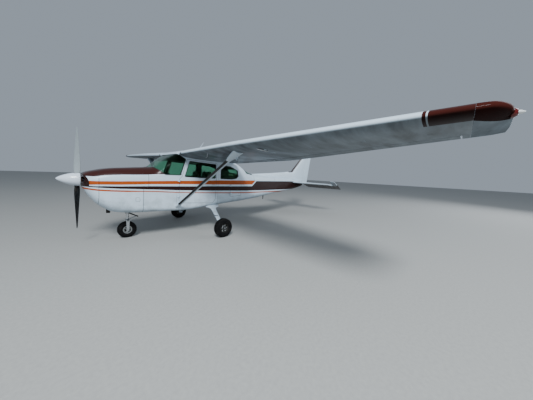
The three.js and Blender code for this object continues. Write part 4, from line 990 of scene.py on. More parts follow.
def skin_tool(aft_from, aft_to, finish, step=40):
    """The body of the fuselage a hair larger, to cut a piece so that it fits against it."""
    return hull("body", aft_from, aft_to, -0.6, step, finish)


def half_width(aft, up):
    """How far left the skin is at a station and a height, or None above the top."""
    section = hull_section(aft)
    for (l0, u0), (l1, u1) in zip(section, section[1:]):
        if l0 > 0 and (u0 - up) * (u1 - up) <= 0 and u0 != u1:
            return l0 + (l1 - l0) * (up - u0) / (u1 - u0)
    return None


print("skin at the door:", round(half_width(1200, 1200)), "mm from the centre line")


# %% Outlines of windows and doors
def offset_outline(outline, distance):
    """A side view outline moved outwards by a distance, or inwards if it is negative."""
    loop = [Vector(p) for p in outline]
    area = sum(a.x * b.y - b.x * a.y for a, b in zip(loop, loop[1:] + loop[:1]))
    side = -distance * math.copysign(1, area)
    moved = []
    for before, here, after in zip(loop[-1:] + loop[:-1], loop, loop[1:] + loop[:1]):
        into, out = (here - before).normalized(), (after - here).normalized()
        reach = side / (1 + into.dot(out))
        moved.append((here.x - (into.y + out.y) * reach, here.y + (into.x + out.x) * reach))
    return moved


def rounded(outline, radius, steps=5):
    """The outline with each corner turned into an arc; radius may be a list, corner by corner."""
    loop = [Vector(p) for p in outline]
    radii = radius if isinstance(radius, list) else [radius] * len(loop)
    points = []
    for before, here, after, r in zip(loop[-1:] + loop[:-1], loop, loop[1:] + loop[:1], radii):
        into, out = (before - here).normalized(), (after - here).normalized()
        half = math.acos(max(-1, min(1, into.dot(out)))) / 2
        reach = r / math.tan(half)
        start, end = here + into * reach, here + out * reach
        for k in range(steps + 1):
            t = k / steps
            p = start * (1 - t) ** 2 + here * 2 * t * (1 - t) + end * t * t
            points.append((p.x, p.y))
    return points


WINDSHIELD = [(196, 1520), (408, 1362), (728, 1376), (836, 1750), (640, 1848), (600, 1880)]
REAR_WINDOW = [(2420, 1900), (3105, 1700), (3105, 1560), (2760, 1585)]
SIDE_WINDOW = [
    (1800, 1365), (2180, 1372), (2340, 1405), (2410, 1470), (2366, 1636), (2110, 1716), (1800, 1724)
]
DOOR = [
    (770, 738), (712, 800), (712, 1285), (766, 1345), (868, 1752), (1668, 1752), (1668, 830), (1600, 722)
]
DOOR_WINDOW = [(826, 1348), (930, 1718), (1640, 1718), (1640, 1360)]
BAGGAGE_DOOR = [(2150, 880), (2150, 1262), (2545, 1262), (2545, 920)]
WINDSHIELD_CUT = rounded(WINDSHIELD, [1, 12, 22, 30, 1, 1])
REAR_WINDOW_CUT = rounded(REAR_WINDOW, [1, 1, 25, 45])
SIDE_WINDOW_CUT = rounded(SIDE_WINDOW, [24, 60, 30, 24, 36, 60, 24])
DOOR_CUT = rounded(DOOR, [20, 20, 20, 20, 26, 26, 45, 45])
DOOR_WINDOW_CUT = rounded(DOOR_WINDOW, [22, 26, 26, 26])
BAGGAGE_CUT = rounded(BAGGAGE_DOOR, 30)
BEYOND = 700
DOOR_GAP = 6

# %% [markdown]
# The cabin shell is cut from one solid skin: the windows, the doors and the baggage hatch are
# outlines pushed through it. Its inside carries the lining, so the cabin reads as a room through
# the glass. The doors are cut from the same skin, which keeps them flush.

# %% Cabin shell, doors and baggage hatch
CABIN_AFT = (0, 3150)
CABIN_WALL = 42
DOOR_HINGE = (703, 578, (880, 1240))
BAGGAGE_HINGE = (2141, 562, (960, 1180))


def skin(name, aft_from, aft_to, thickness, step):
    outer = hull(name, aft_from, aft_to, 0, step)
    room = hull("room", aft_from - 2, aft_to + 2, thickness, step, lining)
    return cut(outer, room)


def barrel_hinge(hinge, up):
    """The eye on the shell and the lug on the leaf, with the pin through both."""
    aft, left, _ = hinge

    def tube(low, high, radius):
        return coated(bar("barrel", at(aft, left, up + low), at(aft, left, up + high), radius), white)

    shell_arm = coated(block("arm", (aft - 34, aft - 4), (left - 24, left - 4), (up - 11, up + 11)), white)
    leaf_arm = coated(block("arm", (aft + 6, aft + 46), (left - 28, left - 4), (up + 13, up + 29)), white)
    eye = [tube(-12, 12, 9.5), shell_arm]
    lug = [tube(12.6, 30, 9.5), leaf_arm, tube(-16, 12.6, 4), tube(-17, -14, 6)]
    return eye, lug


def hinges_of(hinge):
    made = [barrel_hinge(hinge, up) for up in hinge[2]]
    return [m for eye, _ in made for m in eye], [m for _, lug in made for m in lug]


def make_cabin_shell():
    outer = hull("cabin_shell", *CABIN_AFT)
    room = hull("room", CABIN_WALL, CABIN_AFT[1] - 20, CABIN_WALL, finish=lining)
    holes = [
        prism("hole", outline, -BEYOND, BEYOND)
        for outline in (WINDSHIELD_CUT, REAR_WINDOW_CUT, SIDE_WINDOW_CUT, offset_outline(DOOR_CUT, DOOR_GAP))
    ]
    holes.append(prism("hole", offset_outline(BAGGAGE_CUT, DOOR_GAP), 0, BEYOND))
    seats = [block("seat", (655, 2300), sides, (1775, 2100)) for sides in ((556, 700), (-700, -556))]
    for tool in holes:
        coated(tool, trim_black)
    for tool in seats:
        coated(tool, white)
    shell = cut(outer, room, *holes, *seats)
    left_eyes, _ = hinges_of(DOOR_HINGE)
    baggage_eyes, _ = hinges_of(BAGGAGE_HINGE)
    return bound("cabin_shell", shell, *left_eyes, *[mirror(m) for m in left_eyes], *baggage_eyes)


def make_door():
    edge = coated(prism("edge", DOOR_CUT, 0, BEYOND), trim_black)
    leaf = common(skin("door", 600, 1800, CABIN_WALL, 40), edge)
    leaf = cut(leaf, coated(prism("window", DOOR_WINDOW_CUT, 0, BEYOND), trim_black))
    _, lugs = hinges_of(DOOR_HINGE)
    return bound("door", leaf, *lugs)


def make_baggage_door():
    edge = coated(prism("edge", BAGGAGE_CUT, 0, BEYOND), trim_black)
    leaf = common(skin("baggage", 2050, 2650, CABIN_WALL, 40), edge)
    _, lugs = hinges_of(BAGGAGE_HINGE)
    return bound("baggage_door", leaf, *lugs)


piece("cabin_skin", make_cabin_shell(), "airframe", "white_paint", "cabin_shell")
both("door_{}_leaf", make_door(), "door_{}", "white_paint", "door_{}")
piece("baggage_hatch", make_baggage_door(), "baggage_door", "white_paint", "baggage_door")

# %% [markdown]
# Each window is a sheet of acrylic in the curve of the skin, held by a narrow black strip. The
# strip is a ring of the same curve, a little prouder than the glass, so it follows the shape
# wherever the outline goes, also across the roof.

# %% Windows and their strips
GLASS_DEPTH = (2.5, 7.5)
STRIP_PROUD = 2.5
STRIP_DEPTH = 9


def layer(name, span, depth_out, depth_in, finish, outline, left_from=-BEYOND):
    """The part of a layer of the skin that lies inside a side view outline."""
    outer = hull(name, *span, depth_out, 40, finish)
    room = hull("room", span[0] - 2, span[1] + 2, depth_in, 40, finish)
    edge = coated(prism("edge", outline, left_from, BEYOND), finish)
    return common(cut(outer, room), edge)


def thinned(outline, least=3):
    """The outline without points that lie very close together, which could cross when it moves inwards."""
    kept = [Vector(outline[0])]
    for point in outline[1:]:
        if min((Vector(point) - kept[-1]).length, (Vector(point) - kept[0]).length) > least:
            kept.append(Vector(point))
    return kept


def strip(name, span, outline, width, left_from=-BEYOND, over=7):
    """A ring round the outline, lapping over the paint and over the glass."""
    outline = thinned(outline)
    ring = layer(name, span, -STRIP_PROUD, STRIP_DEPTH, trim_black, offset_outline(outline, over), left_from)
    inner = prism("inner", offset_outline(outline, over - width), left_from - 50, BEYOND + 50)
    return cut(ring, coated(inner, trim_black))


WINDOW_WORK = [
    # name, span of the skin, outline, how far left its cut starts
    ("windshield", (150, 900), WINDSHIELD_CUT, -BEYOND),
    ("rear_window", (2350, 3149), REAR_WINDOW_CUT, -BEYOND),
    ("side_window_{}", (1700, 2450), SIDE_WINDOW_CUT, 0),
    ("door_window_{}", (760, 1700), DOOR_WINDOW_CUT, 0),
]
for window, span, outline, left_from in WINDOW_WORK:
    pane = layer("pane", span, *GLASS_DEPTH, glass, offset_outline(outline, -0.4), left_from)
    edging = strip("strip", span, outline, 13, left_from)
    if "{}" in window:
        riding = "door_{}" if window.startswith("door") else "airframe"
        both(window + "_pane", pane, riding, "window_glass", window)
        both(window + "_strip", edging, riding, "black_plastic")
    else:
        piece(window + "_pane", pane, "airframe", "window_glass", window)
        piece(window + "_strip", edging, "airframe", "black_plastic")
print("windows in place")

# %% [markdown]
# The cowl is the same body carried forward to a blunt nose, split along the thrust line. The two
# inlets beside the spinner are oval cuts, and the engine shows dark behind them.

# %% Cowl
THRUST_UP = 1146
COWL_NOSE = -925
COWL_WALL = 14
INLET = (228, 1163, 84, 50)
EXHAUST = (-500, -130)
SEAM = 1.2


def inlet_cut():
    left, up, wide, high = INLET
    loops = [
        [
            at(aft, left + wide * math.cos(t), up + high * math.sin(t))
            for t in round_turns(40)
        ]
        for aft in (-960, -840)
    ]
    return coated(loft("inlet", loops), striped)


def make_cowl():
    outer = hull("cowl", COWL_NOSE, -SEAM)
    room = hull("room", COWL_NOSE + 16, 30, COWL_WALL, finish=dark_steel)
    bore = coated(bar("bore", at(-960, 0, THRUST_UP), at(-840, 0, THRUST_UP), 74, sides=48), striped)
    outlet = coated(block("outlet", (-270, 30), (-80, 80), (500, 640)), striped)
    stack_hole = bar("hole", at(EXHAUST[0] + 1, EXHAUST[1], 860), at(EXHAUST[0] + 10, EXHAUST[1], 460), 34)
    inlet = inlet_cut()
    return cut(outer, room, bore, outlet, coated(stack_hole, striped), inlet, mirror(inlet))


def cowl_half(cowl, up_from, up_to):
    return common(cowl, coated(block("half", (-1000, 100), (-BEYOND, BEYOND), (up_from, up_to)), striped))


cowl = make_cowl()
piece(
    "cowl_top", cowl_half(cowl.copy(), THRUST_UP + SEAM / 2, 1700), "airframe", "white_paint",
    "cowl_upper",
)
piece("cowl_bottom", cowl_half(cowl, 400, THRUST_UP - SEAM / 2), "airframe", "white_paint", "cowl_lower")

# %% [markdown]
# Behind the cabin the fuselage narrows to the tail, where the stabiliser lies across it in a slot.

# %% Tail cone
STAB_UP = 1450
TAIL_JOINT = 3150
TAIL_END = 6380
ELEVATOR_HINGE = 6330
ELEVATOR_TRAIL = 6720
STAB_ROOT_LEFT = 60
STAB_HALF_SPAN = 1727
STAB_LEAD_AFT, STAB_SWEEP = 5560, 450
TAIL_THICKNESS = 0.075
RUN_GAP = 7


def half_profile(share, thickness, camber=0.0, place=0.4):
    """Half thickness and camber of a four digit section, as shares of the chord."""
    root = 0.2969 * math.sqrt(max(share, 0))
    rest = share * (-0.126 + share * (-0.3516 + share * (0.2843 - 0.1036 * share)))
    half = 5 * thickness * (root + rest)
    if share < place:
        bend = camber / place**2 * (2 * place * share - share**2)
    else:
        bend = camber / (1 - place) ** 2 * (1 - 2 * place + 2 * place * share - share**2)
    return half, bend


def front_shares(count=22):
    """Shares from the rear face to the nose, closer together at the nose."""
    return [(math.cos(math.pi * k / (2 * count))) ** 2 for k in range(count + 1)]


def tail_section(lead, trail, thickness, shares, place):
    chord = trail - lead
    upper = [place(lead + s * chord, half_profile(s, thickness)[0] * chord) for s in shares]
    under = [place(lead + s * chord, -half_profile(s, thickness)[0] * chord) for s in reversed(shares)]
    return upper + under[1:] if shares[-1] < 1e-9 else upper + under


def stab_lead(left):
    share = (max(abs(left), STAB_ROOT_LEFT) - STAB_ROOT_LEFT) / (STAB_HALF_SPAN - STAB_ROOT_LEFT)
    return STAB_LEAD_AFT + STAB_SWEEP * share


def elevator_radius(left):
    return 25 - 6 * abs(left) / STAB_HALF_SPAN


def stab_section(left, grow=0.0):
    lead = stab_lead(left) - max(grow, 0)
    chord = ELEVATOR_TRAIL - lead
    rear = (ELEVATOR_HINGE - elevator_radius(left) - RUN_GAP + grow - lead) / chord
    thick = TAIL_THICKNESS + 2 * grow / chord
    shares = [s * rear for s in front_shares()]
    return tail_section(lead, ELEVATOR_TRAIL, thick, shares, lambda a, d: at(a, left, STAB_UP + d))


def tie_down_lug(aft, left, up):
    half = [(-24, 0), (-24, -60), (-12, -77)]
    whole = half + [(-across, down) for across, down in reversed(half)]
    outline = rounded([(aft + across, up + down) for across, down in whole], [1, 8, 8, 8, 8, 1])
    plate = coated(prism("lug", outline, left - 4, left + 4), white)
    eye = coated(bar("eye", at(aft, left - 10, up - 55), at(aft, left + 10, up - 55), 11), dark_steel)
    return cut(plate, eye)


def make_tail_cone():
    outer = hull("tail_cone", TAIL_JOINT + SEAM, TAIL_END, 0, 90)
    room = hull("room", TAIL_JOINT - 10, TAIL_END - 30, 8, 90, dark_steel)
    slot = coated(loft("slot", [stab_section(left, 1.5) for left in (-400, -60, 60, 400)]), white)
    return bound("tail_cone", cut(outer, room, slot), tie_down_lug(6240, 0, 1320))


piece("tail_cone_skin", make_tail_cone(), "airframe", "white_paint", "tail_cone")

# %% [markdown]
# ## The wing
# The wing keeps one chord out to the break, then tapers and twists to the tip. Its section comes
# from a formula, so the leading edge can be as round as it needs to be. The flap and the aileron
# lie in a bay at the rear, and their skins are stiffened with pressed beads, which is what makes
# their reflections ripple.

# %% Wing sections
ROOT_LEAD_UP, WING_RISE = 1865, 135
ROOT_PITCH, WING_TWIST = 1.5, 3
WING_THICKNESS, WING_CAMBER = 0.12, 0.02
SURFACE_HINGE = 0.775
BAY = (604, 5140)
FLAP = (612, 2536)
AILERON = (2544, 5127)


def wing_at(left):
    """Leading edge, chord and pitch of the wing at a distance left of the centre line."""
    out = min(max((left - WING_ROOT) / (WING_JOINT - WING_ROOT), 0), 1.2)
    taper = max(0, (left - WING_BREAK) / (WING_JOINT - WING_BREAK))
    chord = ROOT_CHORD + (TIP_CHORD - ROOT_CHORD) * taper
    pitch = math.radians(ROOT_PITCH - WING_TWIST * min(taper, 1))
    return WING_LEAD + LEAD_SWEEP * taper, ROOT_LEAD_UP + WING_RISE * out, chord, pitch


def wing_spot(left, share, side):
    """A point of the wing in stations; side is 1 on top, -1 underneath, 0 between."""
    lead_aft, lead_up, chord, pitch = wing_at(left)
    half, bend = half_profile(share, WING_THICKNESS, WING_CAMBER)
    along = share * chord
    across = (bend + side * half) * chord
    return (
        lead_aft + along * math.cos(pitch) + across * math.sin(pitch),
        left,
        lead_up - along * math.sin(pitch) + across * math.cos(pitch),
    )


def straight(left, inner, outer, of_left):
    """What a straight line between two stations gives, as the CAD wing has between its ribs."""
    share = (left - inner) / (outer - inner)
    return [a + (b - a) * share for a, b in zip(of_left(inner), of_left(outer))]


def wing_line(left, share, side):
    """The same, but on the straight lines that join root, break and tip."""
    inner, outer = (WING_ROOT, WING_BREAK) if left <= WING_BREAK else (WING_BREAK, WING_JOINT)
    return straight(left, inner, outer, lambda y: wing_spot(y, share, side))


def wing_section(left):
    shares = front_shares(30)
    top = [at(*wing_line(left, s, 1)) for s in shares]
    under = [at(*wing_line(left, s, -1)) for s in reversed(shares[:-1])]
    return top + under


def surface_centre(left):
    return wing_spot(left, SURFACE_HINGE, 0)


def surface_radius(left):
    top, centre = wing_spot(left, SURFACE_HINGE, 1), surface_centre(left)
    return math.dist(top, centre) - 1


def bay_face(left):
    return surface_centre(left)[0] - surface_radius(left) - RUN_GAP


def bay_tool():
    loops = []
    for left in (BAY[0], WING_BREAK, BAY[1]):
        face = bay_face(left)
        loops.append([at(a, left, u) for a, u in ((face, 1500), (face, 2400), (2700, 2400), (2700, 1500))])
    return coated(loft("bay", loops), wing_white)


AILERON_START = Vector(surface_centre(AILERON[0]))
AILERON_LINE = (Vector(surface_centre(AILERON[1])) - AILERON_START).normalized()
AILERON_HINGES = (2900, 3850, 4800)
FLAP_TRACKS = (900, 2200)
FLAP_DROP, FLAP_BACK = 205, 30
FLAP_TRAVEL = math.radians(40)


def aileron_point(left):
    return AILERON_START + AILERON_LINE * ((left - AILERON[0]) / AILERON_LINE.y)


def hinge_plate(name, left, centre, reach, radius=11, thick=8):
    """A bracket from the fixed side: a plate ahead of the pin, rounded about it."""
    aft, _, up = centre
    turns = half_turns(12, -math.pi / 2)
    outline = [(aft + radius * math.cos(t), up + radius * math.sin(t)) for t in turns]
    outline += [(aft - reach, up + radius * 1.3), (aft - reach, up - radius * 1.3)]
    plate = coated(prism(name, outline, left - thick / 2, left + thick / 2), bright_steel)
    bore = coated(bar("bore", at(aft, left - 20, up), at(aft, left + 20, up), 5.6), bright_steel)
    return cut(plate, bore)


def arc_plate(left, inner, outer, angle_from, angle_to, thick, finish, steps=24):
    """A curved plate about the flap's hinge, which is below and behind the flap's pin."""
    aft, _, up = surface_centre(left)
    aft, up = aft + FLAP_BACK, up - FLAP_DROP
    angles = [angle_from + (angle_to - angle_from) * k / steps for k in range(steps + 1)]
    outer_edge = [(aft + outer * math.sin(t), up + outer * math.cos(t)) for t in angles]
    inner_edge = [(aft + inner * math.sin(t), up + inner * math.cos(t)) for t in reversed(angles)]
    return coated(prism("arc", outer_edge + inner_edge, left - thick / 2, left + thick / 2), finish)


def flap_track(left):
    radius = math.hypot(FLAP_DROP, FLAP_BACK)
    rest = -math.atan2(FLAP_BACK, FLAP_DROP)
    end = rest + FLAP_TRAVEL
    plate = arc_plate(left, radius - 15, radius + 15, rest - 0.09, end + 0.09, 8, bright_steel)
    race = arc_plate(left, radius - 6, radius + 6, rest - 0.03, end + 0.03, 30, dark_steel)
    centre = surface_centre(left)
    face = bay_face(left)
    ups = (centre[2] - 14, centre[2] + 12)
    arm = coated(block("arm", (face - 4, centre[0] - 8), (left - 4, left + 4), ups), bright_steel)
    notch = arc_plate(left, radius - 24, radius + 24, rest - 0.4, rest + 0.95, 22, ribbed_white)
    return cut(plate, race), arm, notch


def make_wing():
    lefts = [WING_ROOT, 700, 950, 1300, 1700, 2100, WING_BREAK]
    lefts += [WING_BREAK + (WING_JOINT - 0.3 - WING_BREAK) * k / 8 for k in range(1, 9)]
    body = coated(loft("wing", [wing_section(left) for left in lefts]), wing_white)
    plates = [cut(body, bay_tool())]
    for left in AILERON_HINGES:
        centre = aileron_point(left)
        plates.append(hinge_plate("bracket", left, centre, surface_radius(left) + RUN_GAP + 8))
    for left in FLAP_TRACKS:
        track, arm, _ = flap_track(left)
        plates += [track, arm]
    return bound("wing", *plates)


BEAD_STEP = 76
BEAD_HALF = 11
BEAD_HEIGHT = 2.6


def bead_lefts(inner, outer):
    """Stations along a beaded skin, each with how high the bead stands there."""
    count = int((outer - inner - 60) / BEAD_STEP)
    start = (inner + outer - (count - 1) * BEAD_STEP) / 2
    rows = [(inner, 0.0)]
    for k in range(count):
        middle = start + k * BEAD_STEP
        rows += [
            (middle + d * BEAD_HALF, h)
            for d, h in ((-1, 0), (-0.55, 0.62), (0, 1), (0.55, 0.62), (1, 0))
        ]
    return rows + [(outer, 0.0)]


BEAD_SHARES = [
    # share of the way behind the hinge, share of the bead's height
    (0.0, 0.0), (0.12, 0.0), (0.18, 0.7), (0.25, 1.0), (0.5, 1.0), (0.75, 1.0), (0.85, 0.8), (0.93, 0.0),
    (1.0, 0.0),
]
NOSE_STEPS = 10


def surface_ring(left, bead, straight_ends):
    """Round nose about the hinge, then the wing's own skins with the bead on them."""

    def spots(y):
        centre, radius = surface_centre(y), surface_radius(y)
        ring = []
        for k in range(NOSE_STEPS + 1):
            turn = math.pi * (0.5 - k / NOSE_STEPS)
            ring.append((centre[0] - radius * math.cos(turn), y, centre[2] + radius * math.sin(turn)))
        for share, _ in BEAD_SHARES[1:]:
            ring.append(wing_spot(y, SURFACE_HINGE + (1 - SURFACE_HINGE) * share, -1))
        for share, _ in reversed(BEAD_SHARES[1:]):
            ring.append(wing_spot(y, SURFACE_HINGE + (1 - SURFACE_HINGE) * share, 1))
        return ring

    (inner, first), (outer, last) = [(y, spots(y)) for y in straight_ends]
    mix = (left - inner) / (outer - inner)
    ring = [tuple(a + (b - a) * mix for a, b in zip(p, q)) for p, q in zip(first, last)]
    lifts = [0.0] * (NOSE_STEPS + 1)
    lifts += [-s for _, s in BEAD_SHARES[1:]] + [s for _, s in reversed(BEAD_SHARES[1:])]
    return [at(a, y, u + lift * bead * BEAD_HEIGHT) for (a, y, u), lift in zip(ring, lifts)]


def beaded_surface(name, inner, outer):
    rows = [surface_ring(left, bead, (inner, outer)) for left, bead in bead_lefts(inner, outer)]
    return coated(loft(name, rows, sharp=math.radians(50)), ribbed_white)


def slot_tool(centre, left, reach, finish, width=22, half=18.4, flare=0.3):
    """Room for a bracket and its swing: wider towards the front."""
    aft, _, up = centre
    far = half + flare * (reach + half)
    outline = [(aft + half, up - half), (aft + half, up + half), (aft, up + half)]
    outline += [(aft - reach - half, up + far), (aft - reach - half, up - far), (aft, up - half)]
    return coated(prism("slot", outline, left - width / 2, left + width / 2), finish)


def pin(centre, left, half=13, radius=5):
    aft, _, up = centre
    return coated(bar("pin", at(aft, left - half, up), at(aft, left + half, up), radius), bright_steel)


def make_aileron():
    body = beaded_surface("aileron", *AILERON)
    slots, pins = [], []
    for left in AILERON_HINGES:
        centre = aileron_point(left)
        slots.append(slot_tool(centre, left, surface_radius(left) + RUN_GAP + 8, ribbed_white))
        pins.append(pin(centre, left))
    return bound("aileron", cut(body, *slots), *pins)


def make_flap():
    body = beaded_surface("flap", *FLAP)
    notches = [flap_track(left)[2] for left in FLAP_TRACKS]
    pins = [pin(surface_centre(left), left) for left in FLAP_TRACKS]
    return bound("flap", cut(body, *notches), *pins)


both("wing_{}_skin", make_wing(), "airframe", "white_paint", "wing_{}")
both("aileron_{}_skin", make_aileron(), "aileron_{}", "white_paint", "aileron_{}")
both("flap_{}_skin", make_flap(), "flap_{}", "white_paint", "flap_{}")

# %% [markdown]
# The tip is a moulded shell that rounds the section off. It carries the position lamp, a dark red
# dome on the left and a green one on the right, with a clear cover outermost.

# %% Wing tips and their lamps
TIP = np.array(
    [
        # left, lead moved aft, trail moved ahead, thickness scale, middle raised
        [WING_JOINT, 0, 0, 1, 0],
        [5290, 30, 0, 0.93, 8],
        [5350, 110, 0, 0.78, 13],
        [5390, 220, 4, 0.58, 18],
        [5420, 420, 14, 0.38, 20],
        [5440, 760, 34, 0.16, 18],
    ],
    float,
)


def tip_ring(left):
    lead_back, trail_ahead, thick, raised = bent(TIP, left)
    lead_aft, _, chord, _ = wing_at(WING_JOINT)
    scale = (chord - lead_back - trail_ahead) / chord
    middle = wing_spot(WING_JOINT, 0.5, 0)[2]
    shares = front_shares(30)
    spots = [wing_spot(WING_JOINT, s, 1) for s in shares]
    spots += [wing_spot(WING_JOINT, s, -1) for s in reversed(shares[:-1])]
    return [
        at(lead_aft + lead_back + (aft - lead_aft) * scale, left, middle + (up - middle) * thick + raised)
        for aft, _, up in spots
    ]


TIP_LEFTS = [WING_JOINT + SEAM, 5225, 5260, 5290, 5320, 5350, 5372, 5390]
TIP_LEFTS += [5405, 5418, 5428, 5435, 5439, 5440]
both(
    "wing_tip_{}_shell",
    coated(loft("tip", [tip_ring(left) for left in TIP_LEFTS], sharp=math.radians(60)), tip_brown),
    "airframe",
    "dark_paint",
    "wing_tip_{}",
)


def dome(name, centre, size, away, finish, sides=24, rings=8):
    """Half a ball with three sizes, flat against what carries it."""
    one, two = side_of(away, FORWARD if abs(away.y) > 0.9 else None)
    if abs(one.dot(FORWARD)) < abs(two.dot(FORWARD)):
        one, two = two, -one
    long, wide, tall = (s / 1000 for s in size)
    loops = []
    for ring in range(rings):
        rise = math.pi / 2 * ring / rings
        level, high = math.cos(rise), away * tall * math.sin(rise)
        loops.append(
            [
                centre + one * long * level * math.cos(t) + two * wide * level * math.sin(t) + high
                for t in round_turns(sides)
            ]
        )
    tiny = 0.02
    loops.append([centre + away * tall + (p - centre - away * tall * 0.98) * tiny for p in loops[-1]])
    return coated(loft(name, loops), finish)


LAMP_AFT, LAMP_LEFT, COVER_LEFT = 1150, 5396, 5401
LAMP_UP = wing_spot(WING_JOINT, 0.5, 0)[2]
LAMP_SIZE = (45.5, 37, 40)
COVER_SIZE = (26, 17, 64)
for side, lens, name in ((1, red_lens, "left"), (-1, green_lens, "right")):
    seat = at(LAMP_AFT, side * LAMP_LEFT, LAMP_UP)
    lamp = dome("lamp", seat, LAMP_SIZE, LEFTWARD * side, lens)
    cover_seat = at(LAMP_AFT - 4, side * COVER_LEFT, LAMP_UP)
    cover = dome("cover", cover_seat, COVER_SIZE, LEFTWARD * side, clear_lens)
    piece(
        f"position_lamp_{name}", lamp, "airframe", "red_lens" if side > 0 else "green_lens",
        f"nav_light_{name}",
    )
    piece(f"lamp_cover_{name}", cover, "airframe", "window_glass")

# %% [markdown]
# ## The tail
# The fin stands on the tail cone with a long fillet ahead of it. The rudder and the elevators are
# beaded sheet like the flaps. The elevators have horns at their ends that reach ahead of the
# hinge to balance them, and they hang down when nobody holds the control wheel.

# %% Fin and rudder
FIN_ROOT_UP, HORN_UP, FIN_TOP_UP = 1480, 2660, 2780
RUDDER_LOW_UP = 1405
HORN_LEAD = 6517
RUDDER_HINGES = (1720, 2120, 2520)


def fin_lead(up):
    return FIN_FOOT_AFT + (up - FIN_FOOT_UP)


def rudder_trail(up):
    return 6800 + (up - 1500) * 0.13


def rudder_hinge(up):
    return 6436 + (up - 1400) * 0.19


def rudder_radius(up):
    return 24 - 6 * (up - 1400) / 1400


def upright(up, across=1.0):
    """What puts the (aft, left) points of a fin row at their height, narrowed by a share."""
    return lambda a, d: at(a, d * across, up)


def fin_section(up, across=1.0):
    lead, trail = fin_lead(up), rudder_trail(up)
    rear = (rudder_hinge(up) - rudder_radius(up) - RUN_GAP - lead) / (trail - lead)
    shares = [s * rear for s in front_shares()]
    return tail_section(lead, trail, TAIL_THICKNESS, shares, upright(up, across))


ROUND_TOP = [(14, 1.0), (9, 0.93), (5, 0.8), (2, 0.6), (0, 0.3)]
FILLET_ROWS = [
    # aft, top, half width
    (3262, 1594, 30), (3700, 1648, 40), (4300, 1716, 46), (5000, 1810, 46), (5640, 1902, 42),
]


def make_fin():
    ups = [FIN_ROOT_UP + (HORN_UP - FIN_ROOT_UP) * k / 10 for k in range(11)]
    rings = [fin_section(up) for up in ups] + [fin_section(FIN_TOP_UP - d, w) for d, w in ROUND_TOP]
    blade = coated(loft("fin", rings), fin_white)
    fillet = []
    for aft, top, half in FILLET_ROWS:
        ring = [at(aft, half * math.cos(t), top - 34 + 34 * math.sin(t)) for t in half_turns(12)]
        fillet.append([at(aft, half * 1.25, FIN_ROOT_UP), *ring, at(aft, -half * 1.25, FIN_ROOT_UP)])
    dorsal = coated(loft("dorsal", fillet), fin_white)
    room = coated(block("room", (HORN_LEAD - 12, 7100), (-100, 100), (HORN_UP, 2900)), fin_white)
    under = skin_tool(3100, 6379, fin_white, 60)
    plates = [cut(blade, room, under), cut(dorsal, under)]
    for up in RUDDER_HINGES:
        plates.append(tail_bracket(up))
    return bound("fin", *plates)


RUDDER_AXIS = (at(rudder_hinge(2600), 0, 2600) - at(rudder_hinge(1500), 0, 1500)).normalized()
RUDDER_AHEAD = LEFTWARD.cross(RUDDER_AXIS).normalized()


def plate_along(centre, axis, ahead, reach, half, thick, finish):
    """A flat bracket from a hinge point towards the fixed side, rounded about the hinge."""
    side = axis.cross(ahead).normalized()
    rings = []
    for offset in (-thick / 2, thick / 2):
        ring = [(-half * math.cos(t), half * math.sin(t)) for t in half_turns(10, -math.pi / 2)]
        ring += [(reach, half), (reach, -half)]
        rings.append([centre + (ahead * a + side * b + axis * offset) / 1000 for a, b in ring])
    return coated(loft("plate", rings), finish)


def tail_bracket(up):
    centre = at(rudder_hinge(up), 0, up)
    return plate_along(
        centre, RUDDER_AXIS, RUDDER_AHEAD, rudder_radius(up) + RUN_GAP + 12, 11, 8, bright_steel
    )


SIDE_BEADS = [
    # share of the way behind the hinge, share of the bead's height
    (0.1, 0.0), (0.16, 0.8), (0.22, 1.0), (0.5, 1.0), (0.8, 1.0), (0.88, 0.7), (0.94, 0.0), (1.0, 0.0)
]
TAIL_BEAD = 2.2


def tail_ring(hinge, trail, radius, bead, place):
    """Round nose about the hinge, straight beaded sides to the trailing edge."""
    ring = []
    for k in range(NOSE_STEPS + 1):
        turn = math.pi * (0.5 - k / NOSE_STEPS)
        ring.append((hinge - radius * math.cos(turn), radius * math.sin(turn)))
    sides = [
        (hinge + (trail - hinge) * f, radius + (2 - radius) * f + bead * TAIL_BEAD * s)
        for f, s in SIDE_BEADS
    ]
    ring += [(a, -d) for a, d in sides] + [(a, d) for a, d in reversed(sides)]
    return [place(a, d) for a, d in ring]


def rudder_ring(up, bead, across=1.0):
    return tail_ring(rudder_hinge(up), rudder_trail(up), rudder_radius(up), bead, upright(up, across))


def make_rudder():
    rings = []
    rows = bead_lefts(RUDDER_LOW_UP, HORN_UP) + [(HORN_UP + 20, 0), (FIN_TOP_UP - 14, 0)]
    for up, bead in rows:
        rings.append(rudder_ring(up, bead))
    for drop, across in ROUND_TOP[1:]:
        rings.append(rudder_ring(FIN_TOP_UP - drop, 0, across))
    leaf = coated(loft("rudder", rings, sharp=math.radians(50)), ribbed_white)
    horn = []
    for drop, across in [(FIN_TOP_UP - HORN_UP - 12, 1.0), *ROUND_TOP]:
        up = FIN_TOP_UP - drop
        hinge = rudder_hinge(up)
        ring = [(HORN_LEAD + 6 - 6 * math.sin(t), 9 * math.cos(t)) for t in half_turns(8)]
        ring += [
            (hinge, -rudder_radius(up)), (hinge + 40, -15), (hinge + 40, 15), (hinge, rudder_radius(up))
        ]
        horn.append([at(a, d * across, up) for a, d in ring])
    horn = coated(loft("horn", horn), ribbed_white)
    slots, pins = [], []
    for up in RUDDER_HINGES:
        centre = at(rudder_hinge(up), 0, up)
        reach = rudder_radius(up) + RUN_GAP + 12
        slots.append(plate_along(centre, RUDDER_AXIS, RUDDER_AHEAD, reach, 19, 22, ribbed_white))
        half_pin = RUDDER_AXIS * 0.013
        pins.append(coated(bar("pin", centre - half_pin, centre + half_pin, 5), bright_steel))
    return bound("rudder", cut(leaf, *slots), horn, *pins)


